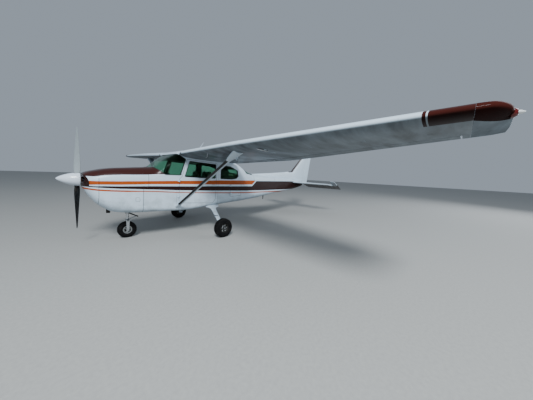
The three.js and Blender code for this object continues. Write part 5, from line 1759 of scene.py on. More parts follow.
piece("fin_skin", make_fin(), "airframe", "white_paint", "fin")
piece("rudder_skin", make_rudder(), "rudder", "white_paint", "rudder")


# %% Stabiliser, elevators and trim tab
ELEVATOR_DROOP = math.radians(23)
HORN_INNER = 1568
ELEVATOR_INNER = 104
ELEVATOR_HINGES = (300, 860, 1420)
TAB = (6628, -960, -260, 7.5)


def drooped(aft, left, up):
    """A point of the elevator, turned down about its hinge."""
    back, over = aft - ELEVATOR_HINGE, up - STAB_UP
    cos, sin = math.cos(ELEVATOR_DROOP), math.sin(ELEVATOR_DROOP)
    return at(ELEVATOR_HINGE + back * cos + over * sin, left, STAB_UP - back * sin + over * cos)


DROOP_AHEAD = (drooped(ELEVATOR_HINGE - 100, 0, STAB_UP) - drooped(ELEVATOR_HINGE, 0, STAB_UP)).normalized()


def make_stabiliser():
    outer = HORN_INNER - 8
    lefts = [-outer, -1300, -900, -500, -200, -60, 60, 200, 500, 900, 1300, outer]
    plates = [coated(loft("stabiliser", [stab_section(left) for left in lefts]), tail_white)]
    for left in [side * y for y in ELEVATOR_HINGES for side in (1, -1)]:
        centre = at(ELEVATOR_HINGE, left, STAB_UP)
        reach = elevator_radius(left) + RUN_GAP + 12
        plates.append(plate_along(centre, LEFTWARD, FORWARD, reach, 11, 8, bright_steel))
    return bound("stabiliser", *plates)


def hanging(left, across=1.0):
    """What puts the (aft, up) points of an elevator row at its station, thinned by a share."""
    return lambda a, d: drooped(a, left, STAB_UP + d * across)


def make_elevator():
    rows = bead_lefts(ELEVATOR_INNER, HORN_INNER) + [(1600, 0), (1700, 0), (STAB_HALF_SPAN, 0)]
    rings = [tail_ring(ELEVATOR_HINGE, ELEVATOR_TRAIL, elevator_radius(y), b, hanging(y)) for y, b in rows]
    leaf = coated(loft("elevator", rings, sharp=math.radians(50)), elevator_dark)
    horn = []
    shares = [0.52 * s for s in front_shares(14)]
    rows = [(HORN_INNER, 5985, 1), (1690, 6015, 1), (1715, 6060, 0.8), (1724, 6095, 0.5)]
    for left, lead, thin in [*rows, (STAB_HALF_SPAN, 6110, 0.25)]:
        horn.append(tail_section(lead, ELEVATOR_TRAIL, 0.062, shares, hanging(left, thin)))
    horn = coated(loft("horn", horn), tail_white)
    room_plan = [(6290, 60), (6760, 60), (6760, 232), (6340, 100)]
    rows = [[drooped(a, left, up) for a, left in room_plan] for up in (1300, 1600)]
    room = coated(loft("room", rows), elevator_dark)
    slots, pins = [], []
    for left in ELEVATOR_HINGES:
        centre = at(ELEVATOR_HINGE, left, STAB_UP)
        reach = elevator_radius(left) + RUN_GAP + 12
        slots.append(plate_along(centre, LEFTWARD, DROOP_AHEAD, reach, 25, 22, elevator_dark))
        pins.append(pin((ELEVATOR_HINGE, left, STAB_UP), left))
    return cut(leaf, room, *slots), [horn, *pins]


def tab_box(grow):
    hinge, inner, outer, radius = TAB
    corners = [(hinge - radius - grow, 1350), (6800, 1350), (6800, 1550), (hinge - radius - grow, 1550)]
    rows = [[drooped(a, y, u) for a, u in corners] for y in (inner - grow, outer + grow)]
    return coated(loft("tab_room", rows), elevator_dark)


def make_tab():
    hinge, inner, outer, radius = TAB
    rings = []
    for left, bead in bead_lefts(inner, outer):
        rings.append(tail_ring(hinge, ELEVATOR_TRAIL, radius, bead * 0.5, hanging(left)))
    return coated(loft("trim_tab", rings, sharp=math.radians(50)), elevator_dark)


leaf, rest = make_elevator()
piece("stabiliser_skin", make_stabiliser(), "airframe", "white_paint", "stabiliser")
piece("elevator_left_skin", bound("elevator", leaf, *rest), "elevator", "white_paint", "elevator_left")
right_leaf = cut(mirror(leaf), tab_box(6))
right_rest = [mirror(m) for m in rest]
piece(
    "elevator_right_skin", bound("elevator", right_leaf, *right_rest), "elevator", "white_paint",
    "elevator_right",
)
piece("trim_tab_skin", make_tab(), "trim_tab", "white_paint", "trim_tab")

# %% [markdown]
# ## Struts and landing gear
# A strut is a streamlined tube with a sheet cuff at each end. Its front edge is black, where the
# paint was renewed against stone chips, and the rest is white. The main legs are sprung steel tubes
# in white fairings, with a broad root and a small step.

# %% Wing struts
STRUT_FOOT, STRUT_HEAD = at(684, 548, 652), at(940, 2400, 1868)
STRUT = np.array(
    [
        # share of length, chord, thickness
        [0, 128, 66],
        [0.03, 122, 60],
        [0.055, 98, 42],
        [0.865, 98, 42],
        [0.89, 140, 62],
        [1, 226, 96],
    ],
    float,
)
SECTION_POINTS = 28
BLACK_FRONT = 0.3
BLACK_FROM, BLACK_TO = 0.06, 0.86


def tube_ring(centre, ahead, side, chord, thick):
    """A streamlined section, thicker ahead of its middle."""
    ring = []
    for i in range(SECTION_POINTS):
        t = 2 * math.pi * i / SECTION_POINTS
        out = 0.5 * math.sin(t) * (1 + 0.22 * math.cos(t)) * 0.97
        ring.append(centre + ahead * (0.5 * math.cos(t) * chord / 1000) + side * (out * thick / 1000))
    return ring


def make_strut():
    along = STRUT_HEAD - STRUT_FOOT
    side = along.cross(FORWARD).normalized()
    shares = [
        0, 0.015, 0.03, 0.04, 0.05, 0.06, 0.3, 0.6, 0.855, 0.865, 0.872, 0.88, 0.89, 0.91, 0.94, 0.97, 1
    ]
    rings = []
    for share in shares:
        chord, thick = bent(STRUT, share)
        rings.append(tube_ring(STRUT_FOOT + along * share, FORWARD, side, chord, thick))
    marks = []
    for share in shares[:-1]:
        for i in range(SECTION_POINTS):
            ahead = math.cos(2 * math.pi * (i + 0.5) / SECTION_POINTS)
            marks.append(1 if ahead > BLACK_FRONT and BLACK_FROM <= share < BLACK_TO else 0)
    tube = loft("strut", rings, marks=marks + [0, 0])
    coated(tube, white, black_enamel, mark=None)
    body = skin_tool(400, 1000, white)
    room = coated(loft("room", [wing_section(left) for left in (WING_ROOT, WING_BREAK)]), white)
    return bound("strut", cut(tube, body, room), tie_down_lug(985, 2290, 1793))


both("strut_{}_tube", make_strut(), "airframe", "white_paint", "strut_{}")


# %% Main gear legs
LEG_TOP, LEG_END = at(1632, 425, 662), at(1525, 1150, 238)
LEG = np.array(
    [
        # share of length, width fore and aft, thickness
        [0, 400, 80],
        [0.12, 390, 74],
        [0.16, 240, 64],
        [0.22, 150, 54],
        [0.3, 132, 48],
        [1, 100, 38],
    ],
    float,
)
WHEEL_LEFT = 1276


def make_main_leg():
    along = LEG_END - LEG_TOP
    side = along.cross(FORWARD).normalized()
    rings = []
    for share in (0, 0.05, 0.1, 0.12, 0.13, 0.14, 0.15, 0.16, 0.18, 0.2, 0.22, 0.26, 0.3, 0.45, 0.6, 0.8, 1):
        width, thick = bent(LEG, share)
        rings.append(tube_ring(LEG_TOP + along * share, FORWARD, side, width, thick))
    leg = cut(coated(loft("leg", rings), white), skin_tool(1000, 2300, white))
    axle_aft, axle_up = MAIN_AXLE_AFT, MAIN_AXLE_UP
    outline = rounded(oblong(axle_aft - 44, axle_aft + 60, 190, 272), 14)
    knuckle = coated(prism("knuckle", outline, 1118, 1160), white)
    axle = coated(
        bar("axle", at(axle_aft, 1120, axle_up), at(axle_aft, WHEEL_LEFT + 72, axle_up), 20),
        bright_steel,
    )
    outline = rounded(oblong(axle_aft - 96, axle_aft - 40, 200, 250), 12)
    caliper = coated(prism("caliper", outline, 1150, 1184), dark_steel)
    plate = coated(block("step", (1505, 1578), (801, 879), (435, 440)), black_plastic)
    riser = coated(block("riser", (1509, 1574), (834, 840), (400, 436)), white)
    route = [(1546, 700, 486), (1521, 900, 370), (1494, 1090, 262), (1420, 1168, 246)]
    line = cable("brake_line", route, 3.2, black_plastic)
    return bound("leg", leg, knuckle, axle, caliper, plate, riser, line)


def cable(name, stations, radius, finish, sides=10, steps=8):
    """A round line along a smooth curve through stations."""
    points = [at(*s) for s in stations]
    curve = []
    for i in range(len(points) - 1):
        before, here = points[max(i - 1, 0)], points[i]
        after, beyond = points[i + 1], points[min(i + 2, len(points) - 1)]
        for k in range(steps):
            t = k / steps
            curve.append(
                0.5 * (2 * here + (after - before) * t + (2 * before - 5 * here + 4 * after - beyond) * t * t
                       + (3 * here - before - 3 * after + beyond) * t**3)
            )
    curve.append(points[-1])
    loops = []
    hint = None
    for before, here, after in zip([curve[0]] + curve[:-1], curve, curve[1:] + [curve[-1]]):
        along = (after - before).normalized()
        if hint is None:
            hint, _ = side_of(along)
        two = along.cross(hint).normalized()
        hint = two.cross(along).normalized()
        loops.append(
            [here + (hint * math.cos(t) + two * math.sin(t)) * (radius / 1000)
             for t in round_turns(sides)]
        )
    return coated(loft(name, loops), finish)


both("main_leg_{}_fairing", make_main_leg(), "airframe", "white_paint", "main_leg_{}")

# %% [markdown]
# Tyres are turned from one profile with its grooves in it. The rims are cast: a flange, a dished
# disc with openings between its spokes, and a hub, capped on the main wheels. A turned ring is cut
# with one opening tool for each gap.

# %% Wheels
WHEELS = {
    # radius, width, inner radius, axle radius, openings, their radii from and to, their half angle
    "main": (222.5, 160, 102, 20, 6, (52, 87), 17),
    "nose": (180.5, 126, 80, 14, 3, (26, 54), 41),
}


# share of the half width, depth of the groove there
TREAD = [(0.55, 0), (0.47, 0), (0.46, 6), (0.38, 6), (0.37, 0), (0.17, 0), (0.16, 6), (0.08, 6), (0.07, 0)]


def tyre_profile(radius, width, inner):
    half = width / 2
    wall = [
        (inner, 0.68 * half), (inner + 5, 0.8 * half), (inner + 0.2 * (radius - inner), 0.93 * half),
        (inner + 0.42 * (radius - inner), half), (inner + 0.62 * (radius - inner), 0.975 * half),
        (inner + 0.78 * (radius - inner), 0.88 * half), (inner + 0.88 * (radius - inner), 0.76 * half),
        (inner + 0.95 * (radius - inner), 0.62 * half),
    ]
    crown = []
    for edge, deep in TREAD:
        drop = 7.5 * edge**2 * (radius / 222.5)
        crown.append((radius - drop - deep, edge * half))
    side = wall + crown
    return side + [(radius, 0)] + [(r, -offset) for r, offset in reversed(side)]


def rim_profile(inner, width, bore):
    half = 0.35 * width
    side = [
        (bore, half * 0.95), (bore + 14, half * 0.95), (bore + 17, half * 0.7), (bore + 20, half * 0.3),
        (inner - 22, half * 0.42), (inner - 14, half * 0.62), (inner - 10, half), (inner - 8, half + 5),
        (inner + 4, half + 7), (inner + 5, half + 3),
    ]
    return side + [(inner - 1, half)] + [(inner - 1, -half)] + [(r, -offset) for r, offset in reversed(side)]


def wheel_hole(centre, radii, angle, half_angle, reach):
    low, high = radii
    loops = []
    for offset in (-reach, reach):
        ring = []
        for r, spread in ((high, 1), (low, -1)):
            for k in range(9):
                t = math.radians(angle + spread * half_angle * (2 * k / 8 - 1))
                spoke = FORWARD * math.cos(t) + UPWARD * math.sin(t)
                ring.append(centre + spoke * (r / 1000) + LEFTWARD * (offset / 1000))
        loops.append(ring)
    return coated(loft("hole", loops), dark_steel)


def make_wheel(kind, centre):
    radius, width, inner, axle, openings, radii, half_angle = WHEELS[kind]
    tyre = coated(turned("tyre", centre, LEFTWARD, tyre_profile(radius, width, inner), 96), rubber)
    rim = turned("rim", centre, LEFTWARD, rim_profile(inner, width, axle + 0.5), 72)
    rim = coated(rim, cast_alloy, dark_steel, mark=0)
    if kind == "main":
        outer = [(p.center - centre) for p in rim.polygons]
        dark = [1 if (v - LEFTWARD * v.y).length > (inner - 17) / 1000 else 0 for v in outer]
        rim.polygons.foreach_set("material_index", dark)
    holes = [wheel_hole(centre, radii, 90 + 360 * k / openings, half_angle, width) for k in range(openings)]
    rim = cut(rim, *holes)
    back = 0.12 * width
    disc = [(axle + 4, -back), (inner - 12, -back), (inner - 12, -back - 6), (axle + 4, -back - 6)]
    dark = coated(turned("disc", centre, LEFTWARD, disc, 48), dark_steel)
    cap_r = axle + 24
    cap = [
        (0.1, 0.35 * width + 7), (cap_r * 0.6, 0.35 * width + 6), (cap_r, 0.35 * width - 1),
        (cap_r, 0.3 * width), (0.1, 0.3 * width),
    ]
    parts = [rim, dark]
    if kind == "main":
        parts.append(coated(turned("cap", centre, LEFTWARD, cap, 32), black_plastic))
    bolt_r = (radii[0] + radii[1]) / 2
    for k in range(openings):
        t = math.radians(90 + 360 * (k + 0.5) / openings)
        place = centre + (FORWARD * math.cos(t) + UPWARD * math.sin(t)) * (bolt_r / 1000)
        foot = place + LEFTWARD * (0.1 * width / 1000)
        head = place + LEFTWARD * (0.2 * width / 1000)
        parts.append(coated(bar("bolt", foot, head, 4.5, sides=6), bright_steel))
    return tyre, bound("rim", *parts)


tyre, rim = make_wheel("main", MAIN_AXLE)
both("main_tyre_{}_rubber", tyre, "main_wheel_{}", "tyre_rubber", "main_tyre_{}")
both("main_rim_{}_casting", rim, "main_wheel_{}", "wheel_alloy", "main_rim_{}")
nose_low, nose_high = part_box("nose_tyre")
tyre, rim = make_wheel("nose", (nose_low + nose_high) / 2)
piece("nose_tyre_rubber", tyre, "nose_wheel", "tyre_rubber", "nose_tyre")
piece("nose_rim_casting", rim, "nose_wheel", "wheel_alloy", "nose_rim")

# %% [markdown]
# The nose leg is a telescopic tube held to the firewall by two brackets. The fork below it turns
# with the pedals. The torque links behind it keep the fork straight while the tube slides.

# %% Nose leg and fork
NOSE_AXLE_AFT, NOSE_AXLE_UP = -173, 93.92
NOSE_TYRE_TOP = NOSE_AXLE_UP + 180.5
PISTON_RADIUS = 26
SLEEVE_UP = (478, 860)
KNEE = (NOSE_AXLE_AFT + 190, NOSE_TYRE_TOP + 104)


def nose_at(up, left=0, aft=0):
    return at(NOSE_AXLE_AFT + aft, left, up)


def make_nose_leg():
    low, high = SLEEVE_UP
    wall = [
        (27, 0), (36, 0), (37, 2), (37, 26), (34.5, 28), (34.5, high - low - 2), (33, high - low),
        (27, high - low),
    ]
    sleeve = coated(turned("sleeve", nose_at(low), UPWARD, wall, 40), white)
    parts = [sleeve, coated(bar("cap", nose_at(high - 10), nose_at(high - 1), 30), dark_steel)]
    for ups, reach, finish in (((485, 497), (-60, 145), black_enamel), ((499, 511), (-50, 92), white)):
        plan = rounded([(reach[0], -46), (reach[1], -40), (reach[1], 40), (reach[0], 46)], 16)
        plate = coated(loft("plate", [[nose_at(up, y, a) for a, y in plan] for up in ups]), finish)
        parts.append(cut(plate, coated(bar("bore", nose_at(470), nose_at(530), 36.9, sides=40), finish)))
    for up in (655, 815):
        outline = [
            (NOSE_AXLE_AFT - 46, -34), (NOSE_AXLE_AFT - 30, -46), (NOSE_AXLE_AFT + 40, -46), (-0.3, -40)
        ]
        plan = rounded(outline + [(a, -y) for a, y in reversed(outline)], [18, 14, 14, 4, 4, 14, 14, 18])
        clamp = coated(loft("clamp", [[at(a, y, u) for a, y in plan] for u in (up, up + 34)]), cast_alloy)
        bore = bar("bore", nose_at(up - 9), nose_at(up + 43), 36.8, sides=40)
        parts.append(cut(clamp, coated(bore, cast_alloy)))
        for left in (-40, 40):
            foot = at(NOSE_AXLE_AFT + 52, left * 1.02, up + 17)
            head = foot + LEFTWARD * math.copysign(0.014, left)
            parts.append(coated(bar("bolt", foot, head, 6, sides=6), bright_steel))
    return bound("nose_leg", *parts)


def torque_link(aft, up):
    """A flat link, forked at its root and waisted towards the knee."""
    long = Vector((KNEE[0] - 4 - aft, KNEE[1] - up))
    rows = [(0, 44, 12), (0.15, 42, 12), (0.5, 32, 12), (0.85, 27, 11), (1.0, 30, 10)]
    flat = Vector((-long.y, long.x)).normalized()
    loops = []
    for share, half, thick in rows:
        middle = Vector((aft, up)) + long * share
        loops.append(
            [at(middle.x + flat.x * t, y, middle.y + flat.y * t)
             for y, t in ((-half, -thick), (half, -thick), (half, thick), (-half, thick))]
        )
    return loft("link", loops, sharp=math.radians(20))


def make_nose_fork():
    top = SLEEVE_UP[0]
    piston = bar("piston", nose_at(NOSE_TYRE_TOP + 20), nose_at(top + 110), PISTON_RADIUS, sides=40)
    parts = [coated(piston, polished)]
    ring = [(26, 0), (42, 0), (42, 8), (40, 10), (40, 20), (42, 22), (42, 29.4), (26, 29.4)]
    parts.append(coated(turned("collar", nose_at(top - 30), UPWARD, ring, 40), bright_steel))
    crown = rounded(oblong(-34, 34, -86, 86), 22)
    rows = [
        (NOSE_TYRE_TOP + 10, 1.0), (NOSE_TYRE_TOP + 34, 1.0), (NOSE_TYRE_TOP + 42, 0.94),
        (NOSE_TYRE_TOP + 44, 0.9),
    ]
    loops = [[nose_at(up, y * s, a * s) for a, y in crown] for up, s in rows]
    parts.append(coated(loft("crown", loops), cast_alloy))
    arm_rows = [(NOSE_TYRE_TOP + 30, 30), (210, 27)]
    arm_rows += [(NOSE_AXLE_UP + rise, half) for rise, half in ((26, 23), (0, 25), (-24, 16))]
    for side in (1, -1):
        loops = []
        for up, half in arm_rows:
            rear = [(half, 86), (half + 2, 84), (half + 2, 73), (half, 71)]
            plate = [(-half, 86), *rear, (-half, 71), (-half - 2, 73), (-half - 2, 84)]
            loops.append([nose_at(up, side * y, a) for a, y in plate])
        parts.append(coated(loft("arm", loops), polished))
        nut = nose_at(NOSE_AXLE_UP, side * 84)
        parts.append(coated(bar("nut", nut, nut + LEFTWARD * (side * 0.009), 15, sides=6), bright_steel))
    axle = bar("axle", nose_at(NOSE_AXLE_UP, -80), nose_at(NOSE_AXLE_UP, 80), 14)
    parts.append(coated(axle, bright_steel))
    for aft, up, finish in ((20, top - 15, black_enamel), (20, NOSE_TYRE_TOP + 30, cast_alloy)):
        parts.append(coated(torque_link(NOSE_AXLE_AFT + aft, up), finish))
    parts.append(coated(bar("knee", at(KNEE[0], -34, KNEE[1]), at(KNEE[0], 34, KNEE[1]), 15), black_plastic))
    return bound("nose_fork", *parts)


piece("nose_leg_tube", make_nose_leg(), "airframe", "white_paint", "nose_leg")
piece("nose_fork_arms", make_nose_fork(), "nose_steering", "polished_alloy", "nose_fork")

# %% [markdown]
# ## Propeller and spinner
# The two blades twist from a steep angle at the hub to a flat one at the tip. Their front is pale
# grey and their back is black, so that it doesn't dazzle the pilot. The spinner is a spun shell
# that closes round the blade roots on a back plate.

# %% Propeller blades and spinner shell
PROPELLER_AFT = -975
PROPELLER_LEAN = math.radians(-2.8)
BLADE = np.array(
    [
        # radius, chord, thickness, pitch in degrees
        [50, 56, 56, 58],
        [130, 92, 44, 50],
        [210, 128, 31, 42],
        [330, 148, 22, 33],
        [520, 154, 15, 24],
        [720, 140, 11, 18],
        [860, 112, 8, 15],
        [930, 78, 6, 14],
        [948, 50, 5, 14],
        [952, 30, 3, 14],
    ],
    float,
)
BLADE_FRONT = [
    (0.5, 0.1), (0.47, 0.3), (0.42, 0.42), (0.3, 0.56), (0.2, 0.6), (0.05, 0.57), (-0.1, 0.48),
    (-0.3, 0.28), (-0.5, 0.05),
]
BLADE_BACK = [
    (-0.5, -0.05), (-0.3, -0.18), (-0.1, -0.28), (0.1, -0.34), (0.3, -0.35), (0.42, -0.28), (0.48, -0.16)
]


def leant(ahead, left, up):
    """A point about the thrust line, turned with the propeller; millimetres ahead, left and up."""
    cos, sin = math.cos(PROPELLER_LEAN), math.sin(PROPELLER_LEAN)
    return at(PROPELLER_AFT - ahead, left * cos - up * sin, THRUST_UP + left * sin + up * cos)


def make_blade(turn):
    loops, marks = [], []
    section = BLADE_FRONT + BLADE_BACK
    radii = [
        50, 80, 110, 140, 175, 210, 250, 300, 360, 430, 520, 620, 720, 800, 860, 900, 930, 942, 948, 952
    ]
    for radius in radii:
        chord, thick, pitch = bent(BLADE, radius)
        angle = math.radians(pitch)
        ring = []
        for along, across in section:
            ahead = math.sin(angle) * along * chord + math.cos(angle) * across * thick
            left = -math.cos(angle) * along * chord + math.sin(angle) * across * thick
            ring.append(leant(ahead, left * turn, radius * turn))
        loops.append(ring)
    front = len(BLADE_FRONT) - 1
    for _ in radii[:-1]:
        marks += [0 if i < front else 1 for i in range(len(section))]
    return coated(loft("blade", loops, marks=marks + [0, 0]), blade_grey, black_enamel, mark=None)


SPINNER_BASE, SPINNER_TIP, SPINNER_RADIUS = 39, 283, 130
SCREW_COUNT = 10


def make_spinner():
    base, tip, wide = SPINNER_BASE, SPINNER_TIP, SPINNER_RADIUS
    profile = []
    length = tip + base
    for step in range(29):
        share = (step / 28) ** 0.85
        profile.append((wide * max(0.0, 1 - share**1.6) ** 0.73, -base + length * share))
    inner = [(max(0.0, r - 3), offset - 3) for r, offset in reversed(profile[:-1])]
    centre = at(PROPELLER_AFT, 0, THRUST_UP)
    cone = coated(
        turned("spinner", centre, FORWARD, profile + inner[:-1] + [(wide - 3, -base)], 96), spinner_white
    )
    plate = [(70.5, -base + 2), (wide - 4, -base + 2), (wide - 4, -base + 5), (70.5, -base + 5)]
    back = coated(turned("plate", centre, FORWARD, plate, 72), cast_alloy)
    return cone, back


def blade_slot(turn):
    """The room that the spinner leaves round a blade root."""
    outline = rounded(oblong(-46, 46, -48, 48), 26)
    loops = [[leant(a, y * turn, r * turn) for a, y in outline] for r in (60, 200)]
    return coated(loft("slot", loops), spinner_white)


spinner_white = paint(
    "spinner_white", lambda g: srgb(214, 224, 236), dirt=0.3, gloss=0.24, dent=0.0008, rivet=0.0
)
cone, back_plate = make_spinner()
screws = []
for k in range(SCREW_COUNT):
    turn = 2 * math.pi * (k + 0.5) / SCREW_COUNT
    out = LEFTWARD * math.cos(turn) + UPWARD * math.sin(turn)
    head = at(PROPELLER_AFT + 26, 0, THRUST_UP) + out * ((SPINNER_RADIUS - 1.7) / 1000)
    screws.append(coated(bar("screw", head, head + out * 0.0022, 5, sides=12), bright_steel))
cone = cut(cone, blade_slot(1), blade_slot(-1))
piece("spinner_shell", bound("spinner", cone, back_plate, *screws), "propeller", "white_plastic", "spinner")
hub = coated(bar("hub", at(-940, 0, THRUST_UP), at(-1012, 0, THRUST_UP), 70, sides=48), cast_alloy)
piece(
    "propeller_blades", bound("propeller", hub, make_blade(1), make_blade(-1)), "propeller",
    "polished_alloy", "propeller",
)

# %% [markdown]
# ## Engine
# Through the inlets one sees the front cylinders: finned barrels either side of the crankcase,
# with their rocker covers outermost. The exhaust pipes gather into one stub that comes out under
# the chin. A tube frame carries it all on the firewall.

# %% Engine and exhaust
CYLINDER_AFTS = (-640, -430)
CYLINDER_UP = 1090


def slab(name, aft, left, up, radius, finish):
    """A cast block: a rounded side view, pushed across, with its end edges drawn in."""
    outline = rounded(oblong(*aft, *up), radius)
    inset = radius * 0.35
    shrunk = offset_outline(outline, -inset)
    low, high = min(left), max(left)
    rows = [(shrunk, low), (outline, low + inset), (outline, high - inset), (shrunk, high)]
    return coated(loft(name, [[at(a, y, u) for a, u in ring] for ring, y in rows]), finish)


def make_cylinder(aft, side):
    centre = at(aft, 0, CYLINDER_UP)
    wall = [(30, 160)]
    for k in range(15):
        left = 172 + 11.5 * k
        tall = 82 if k < 9 else 88
        wall += [(64, left - 3), (tall, left - 1.4), (tall, left + 1.4), (64, left + 3)]
    wall.append((30, 345))
    barrel = coated(turned("barrel", centre, LEFTWARD * side, wall, 32), engine_iron)
    lefts = (side * 340, side * 384)
    cover = slab(
        "rocker_cover", (aft - 78, aft + 78), lefts, (CYLINDER_UP - 62, CYLINDER_UP + 58), 30, dark_steel
    )
    pipes = []
    for offset in (-34, 34):
        start, end = (aft + offset, side * 330, 1030), (aft + offset * 0.8, side * 150, 960)
        route = [start, (aft + offset, side * 240, 992), end]
        pipes.append(cable("pushrod", route, 11, bright_steel, steps=5))
    return bound("cylinder", barrel, cover, *pipes)


def make_engine():
    parts = [slab("crankcase", (-738, -190), (-165, 165), (905, 1225), 50, engine_iron)]
    nose = [(58, 180), (60, 182), (62, 150), (84, 148), (90, 140), (92, 50), (58, 50)]
    parts.append(coated(turned("nose_case", at(-680, 0, THRUST_UP), FORWARD, nose, 40), engine_iron))
    shaft = bar("shaft", at(-820, 0, THRUST_UP), at(-939, 0, THRUST_UP), 56, sides=32)
    parts.append(coated(shaft, bright_steel))
    parts.append(slab("sump", (-700, -260), (-98, 98), (872, 930), 24, dark_steel))
    for aft in CYLINDER_AFTS:
        for side in (1, -1):
            parts.append(make_cylinder(aft, side))
    for side in (1, -1):
        top = block("baffle", (-735, -205), (side * 178, side * 340), (1186, 1189))
        rear = block("baffle", (-205, -202), (side * 150, side * 345), (960, 1188))
        parts += [coated(top, dark_steel), coated(rear, dark_steel)]
        for up in (900, 1215):
            inner = (-230, side * 150, 940 if up < 1000 else 1180)
            route = [inner, (-120, side * 232, up), (-0.6, side * 250, up)]
            parts.append(cable("mount", route, 15, dark_steel, steps=4))
        pipe = [
            (-640, side * 262, 1010), (-610, side * 215, 905), (-545, side * 60 - 70, 885),
            (*EXHAUST, 900),
        ]
        parts.append(cable("exhaust_arm", pipe, 19, dark_steel, sides=14))
    return bound("engine", *parts)


def make_exhaust():
    aft, left = EXHAUST
    low, bend, high = at(aft + 10, left, 458.5), at(aft + 6, left, 640), at(aft, left, 905)
    wall = [(20.5, 0), (24, 0), (24, 182), (20.5, 182)]
    stub = coated(turned("stub", low, (bend - low).normalized(), wall, 36), dark_steel)
    drain = cable("drain", [(-452, -112, 640), (-448, -112, 560), (-436, -112, 500)], 9, dark_steel)
    sleeve = turned("sleeve", low, (bend - low).normalized(), [(25, 3), (36, 0), (36, 84), (25, 92)], 36)
    rise = bar("rise", bend, high, 24)
    return bound("exhaust", stub, coated(sleeve, dark_steel), coated(rise, dark_steel), drain)


piece("engine_casting", make_engine(), "airframe", "engine_iron", "engine_block")
piece("exhaust_stub", make_exhaust(), "airframe", "dark_steel", "exhaust_pipe")

# %% [markdown]
# ## Cabin
# What one sees through the tinted windows is mostly dark shapes: two front seats with their backs
# up, the bench behind them, the top of the panel and the control wheels. Seen close, the panel
# has round dials in rows and a stack of switches, all generic.

# %% Floor, panel and dials
FLOOR_UP = 768
PANEL_AFT = (340, 470)


def make_floor():
    room = hull("room", 47, 3125, CABIN_WALL + 1, 60, carpet)
    top = coated(block("floor", (60, 3100), (-700, 700), (FLOOR_UP - 30, FLOOR_UP)), carpet)
    return common(top, room)


def dial(left, up, radius):
    """A round instrument: a black bezel, a face a little sunk, a pale needle and its marks."""
    centre = at(PANEL_AFT[1], left, up)
    back = -FORWARD
    rim = [(radius - 4, -3), (radius - 3, 4), (radius, 5), (radius + 3, 2), (radius + 3, -3)]
    parts = [coated(turned("bezel", centre, back, rim, 28), black_enamel)]
    face = [(0.1, -1), (radius - 3.5, -1), (radius - 3.5, 0.8), (0.1, 0.8)]
    parts.append(coated(turned("face", centre, back, face, 28), trim_black))
    for k in range(12):
        out = LEFTWARD * math.sin(k * math.pi / 6) + UPWARD * math.cos(k * math.pi / 6)
        start = centre + back * 0.0012
        inner, outer = radius * 0.74 / 1000, radius * 0.88 / 1000
        mark = bar("mark", start + out * inner, start + out * outer, 0.9, sides=4)
        parts.append(coated(mark, pale_plastic))
    turn = random.uniform(-2.4, 2.4)
    out = LEFTWARD * math.sin(turn) + UPWARD * math.cos(turn)
    start = centre + back * 0.002
    needle = bar("needle", start - out * 0.006, start + out * (radius * 0.0008), 1.6, 0.6, sides=6)
    parts.append(coated(needle, pale_plastic))
    return bound("dial", *parts)


def make_panel():
    room = hull("room", 47, 1000, CABIN_WALL + 1, 40, black_plastic)
    board = coated(block("board", PANEL_AFT, (-700, 700), (1034, 1382)), matt_grey)
    shelf = [(300, 1376), (492, 1376), (506, 1380), (510, 1388), (506, 1398), (492, 1400), (300, 1396)]
    shield = coated(prism("shield", shelf, -700, 700), black_plastic)
    parts = [common(board, room), common(shield, room)]
    random.seed(4)
    for up in (1300, 1205):
        for column in range(3):
            parts.append(dial(395 - 96 * column, up, 39))
    for column in range(2):
        parts.append(dial(-330 - 80 * column, 1290, 28))
        parts.append(dial(-330 - 80 * column, 1215, 28))
    for up, tall in ((1310, 44), (1258, 44), (1206, 40), (1160, 36)):
        outline = [
            (470, up - tall / 2), (476, up - tall / 2 + 2), (476, up + tall / 2 - 2),
            (470, up + tall / 2),
        ]
        parts.append(coated(prism("radio", outline, -88, 78), black_enamel))
        for left in (-70, 60):
            knob = [(0.1, 6), (8, 6), (8, 14), (6.5, 18), (0.1, 18)]
            parts.append(coated(turned("knob", at(470, left, up), -FORWARD, knob, 20), black_plastic))
    for k in range(7):
        foot = at(470, 300 - 34 * k, 1082)
        tip = foot - FORWARD * 0.012 - UPWARD * 0.006
        parts.append(coated(bar("switch", foot, tip, 4, 5.5, sides=10), pale_plastic))
    for left, colour in ((36, red_lens), (0, black_plastic), (-40, black_plastic)):
        foot = at(470, left, 1076)
        parts.append(coated(bar("plunger", foot, foot - FORWARD * 0.05, 4, sides=12), bright_steel))
        knob = [(0.1, 50), (11, 50), (14, 54), (14, 64), (11, 68), (0.1, 68)]
        parts.append(coated(turned("knob", foot, -FORWARD, knob, 24), colour))
    return bound("panel", *parts)


matt_grey = matt("panel_grey", srgb(74, 74, 74), 0.7, 0.15, 500.0, 0.0003)
piece("cabin_carpet", make_floor(), "airframe", "floor_carpet", "cabin_floor")
piece("panel_board", make_panel(), "airframe", "black_plastic", "instrument_panel")


# %% Control wheels and pedals
CONTROL_LEFT, CONTROL_UP = 245, 1190


def make_control_wheel():
    end = at(640, CONTROL_LEFT, CONTROL_UP)
    column = bar("column", at(PANEL_AFT[1] + 0.4, CONTROL_LEFT, CONTROL_UP), end, 12)
    horns = [
        (628, 134, 84), (631, 133, 50), (637, 128, 8), (640, 108, -6), (640, 50, -3), (640, 0, 0),
        (640, -50, -3), (640, -108, -6), (637, -128, 8), (631, -133, 50), (628, -134, 84),
    ]
    route = [(a, CONTROL_LEFT + y, CONTROL_UP + u) for a, y, u in horns]
    yoke = cable("yoke", route, 12, black_plastic, 14, 5)
    hub = [(0.1, -3), (26, -3), (30, 2), (30, 14), (24, 19), (0.1, 19)]
    boss = turned("boss", end, -FORWARD, hub, 32)
    return bound("wheel", coated(column, bright_steel), yoke, coated(boss, black_plastic))


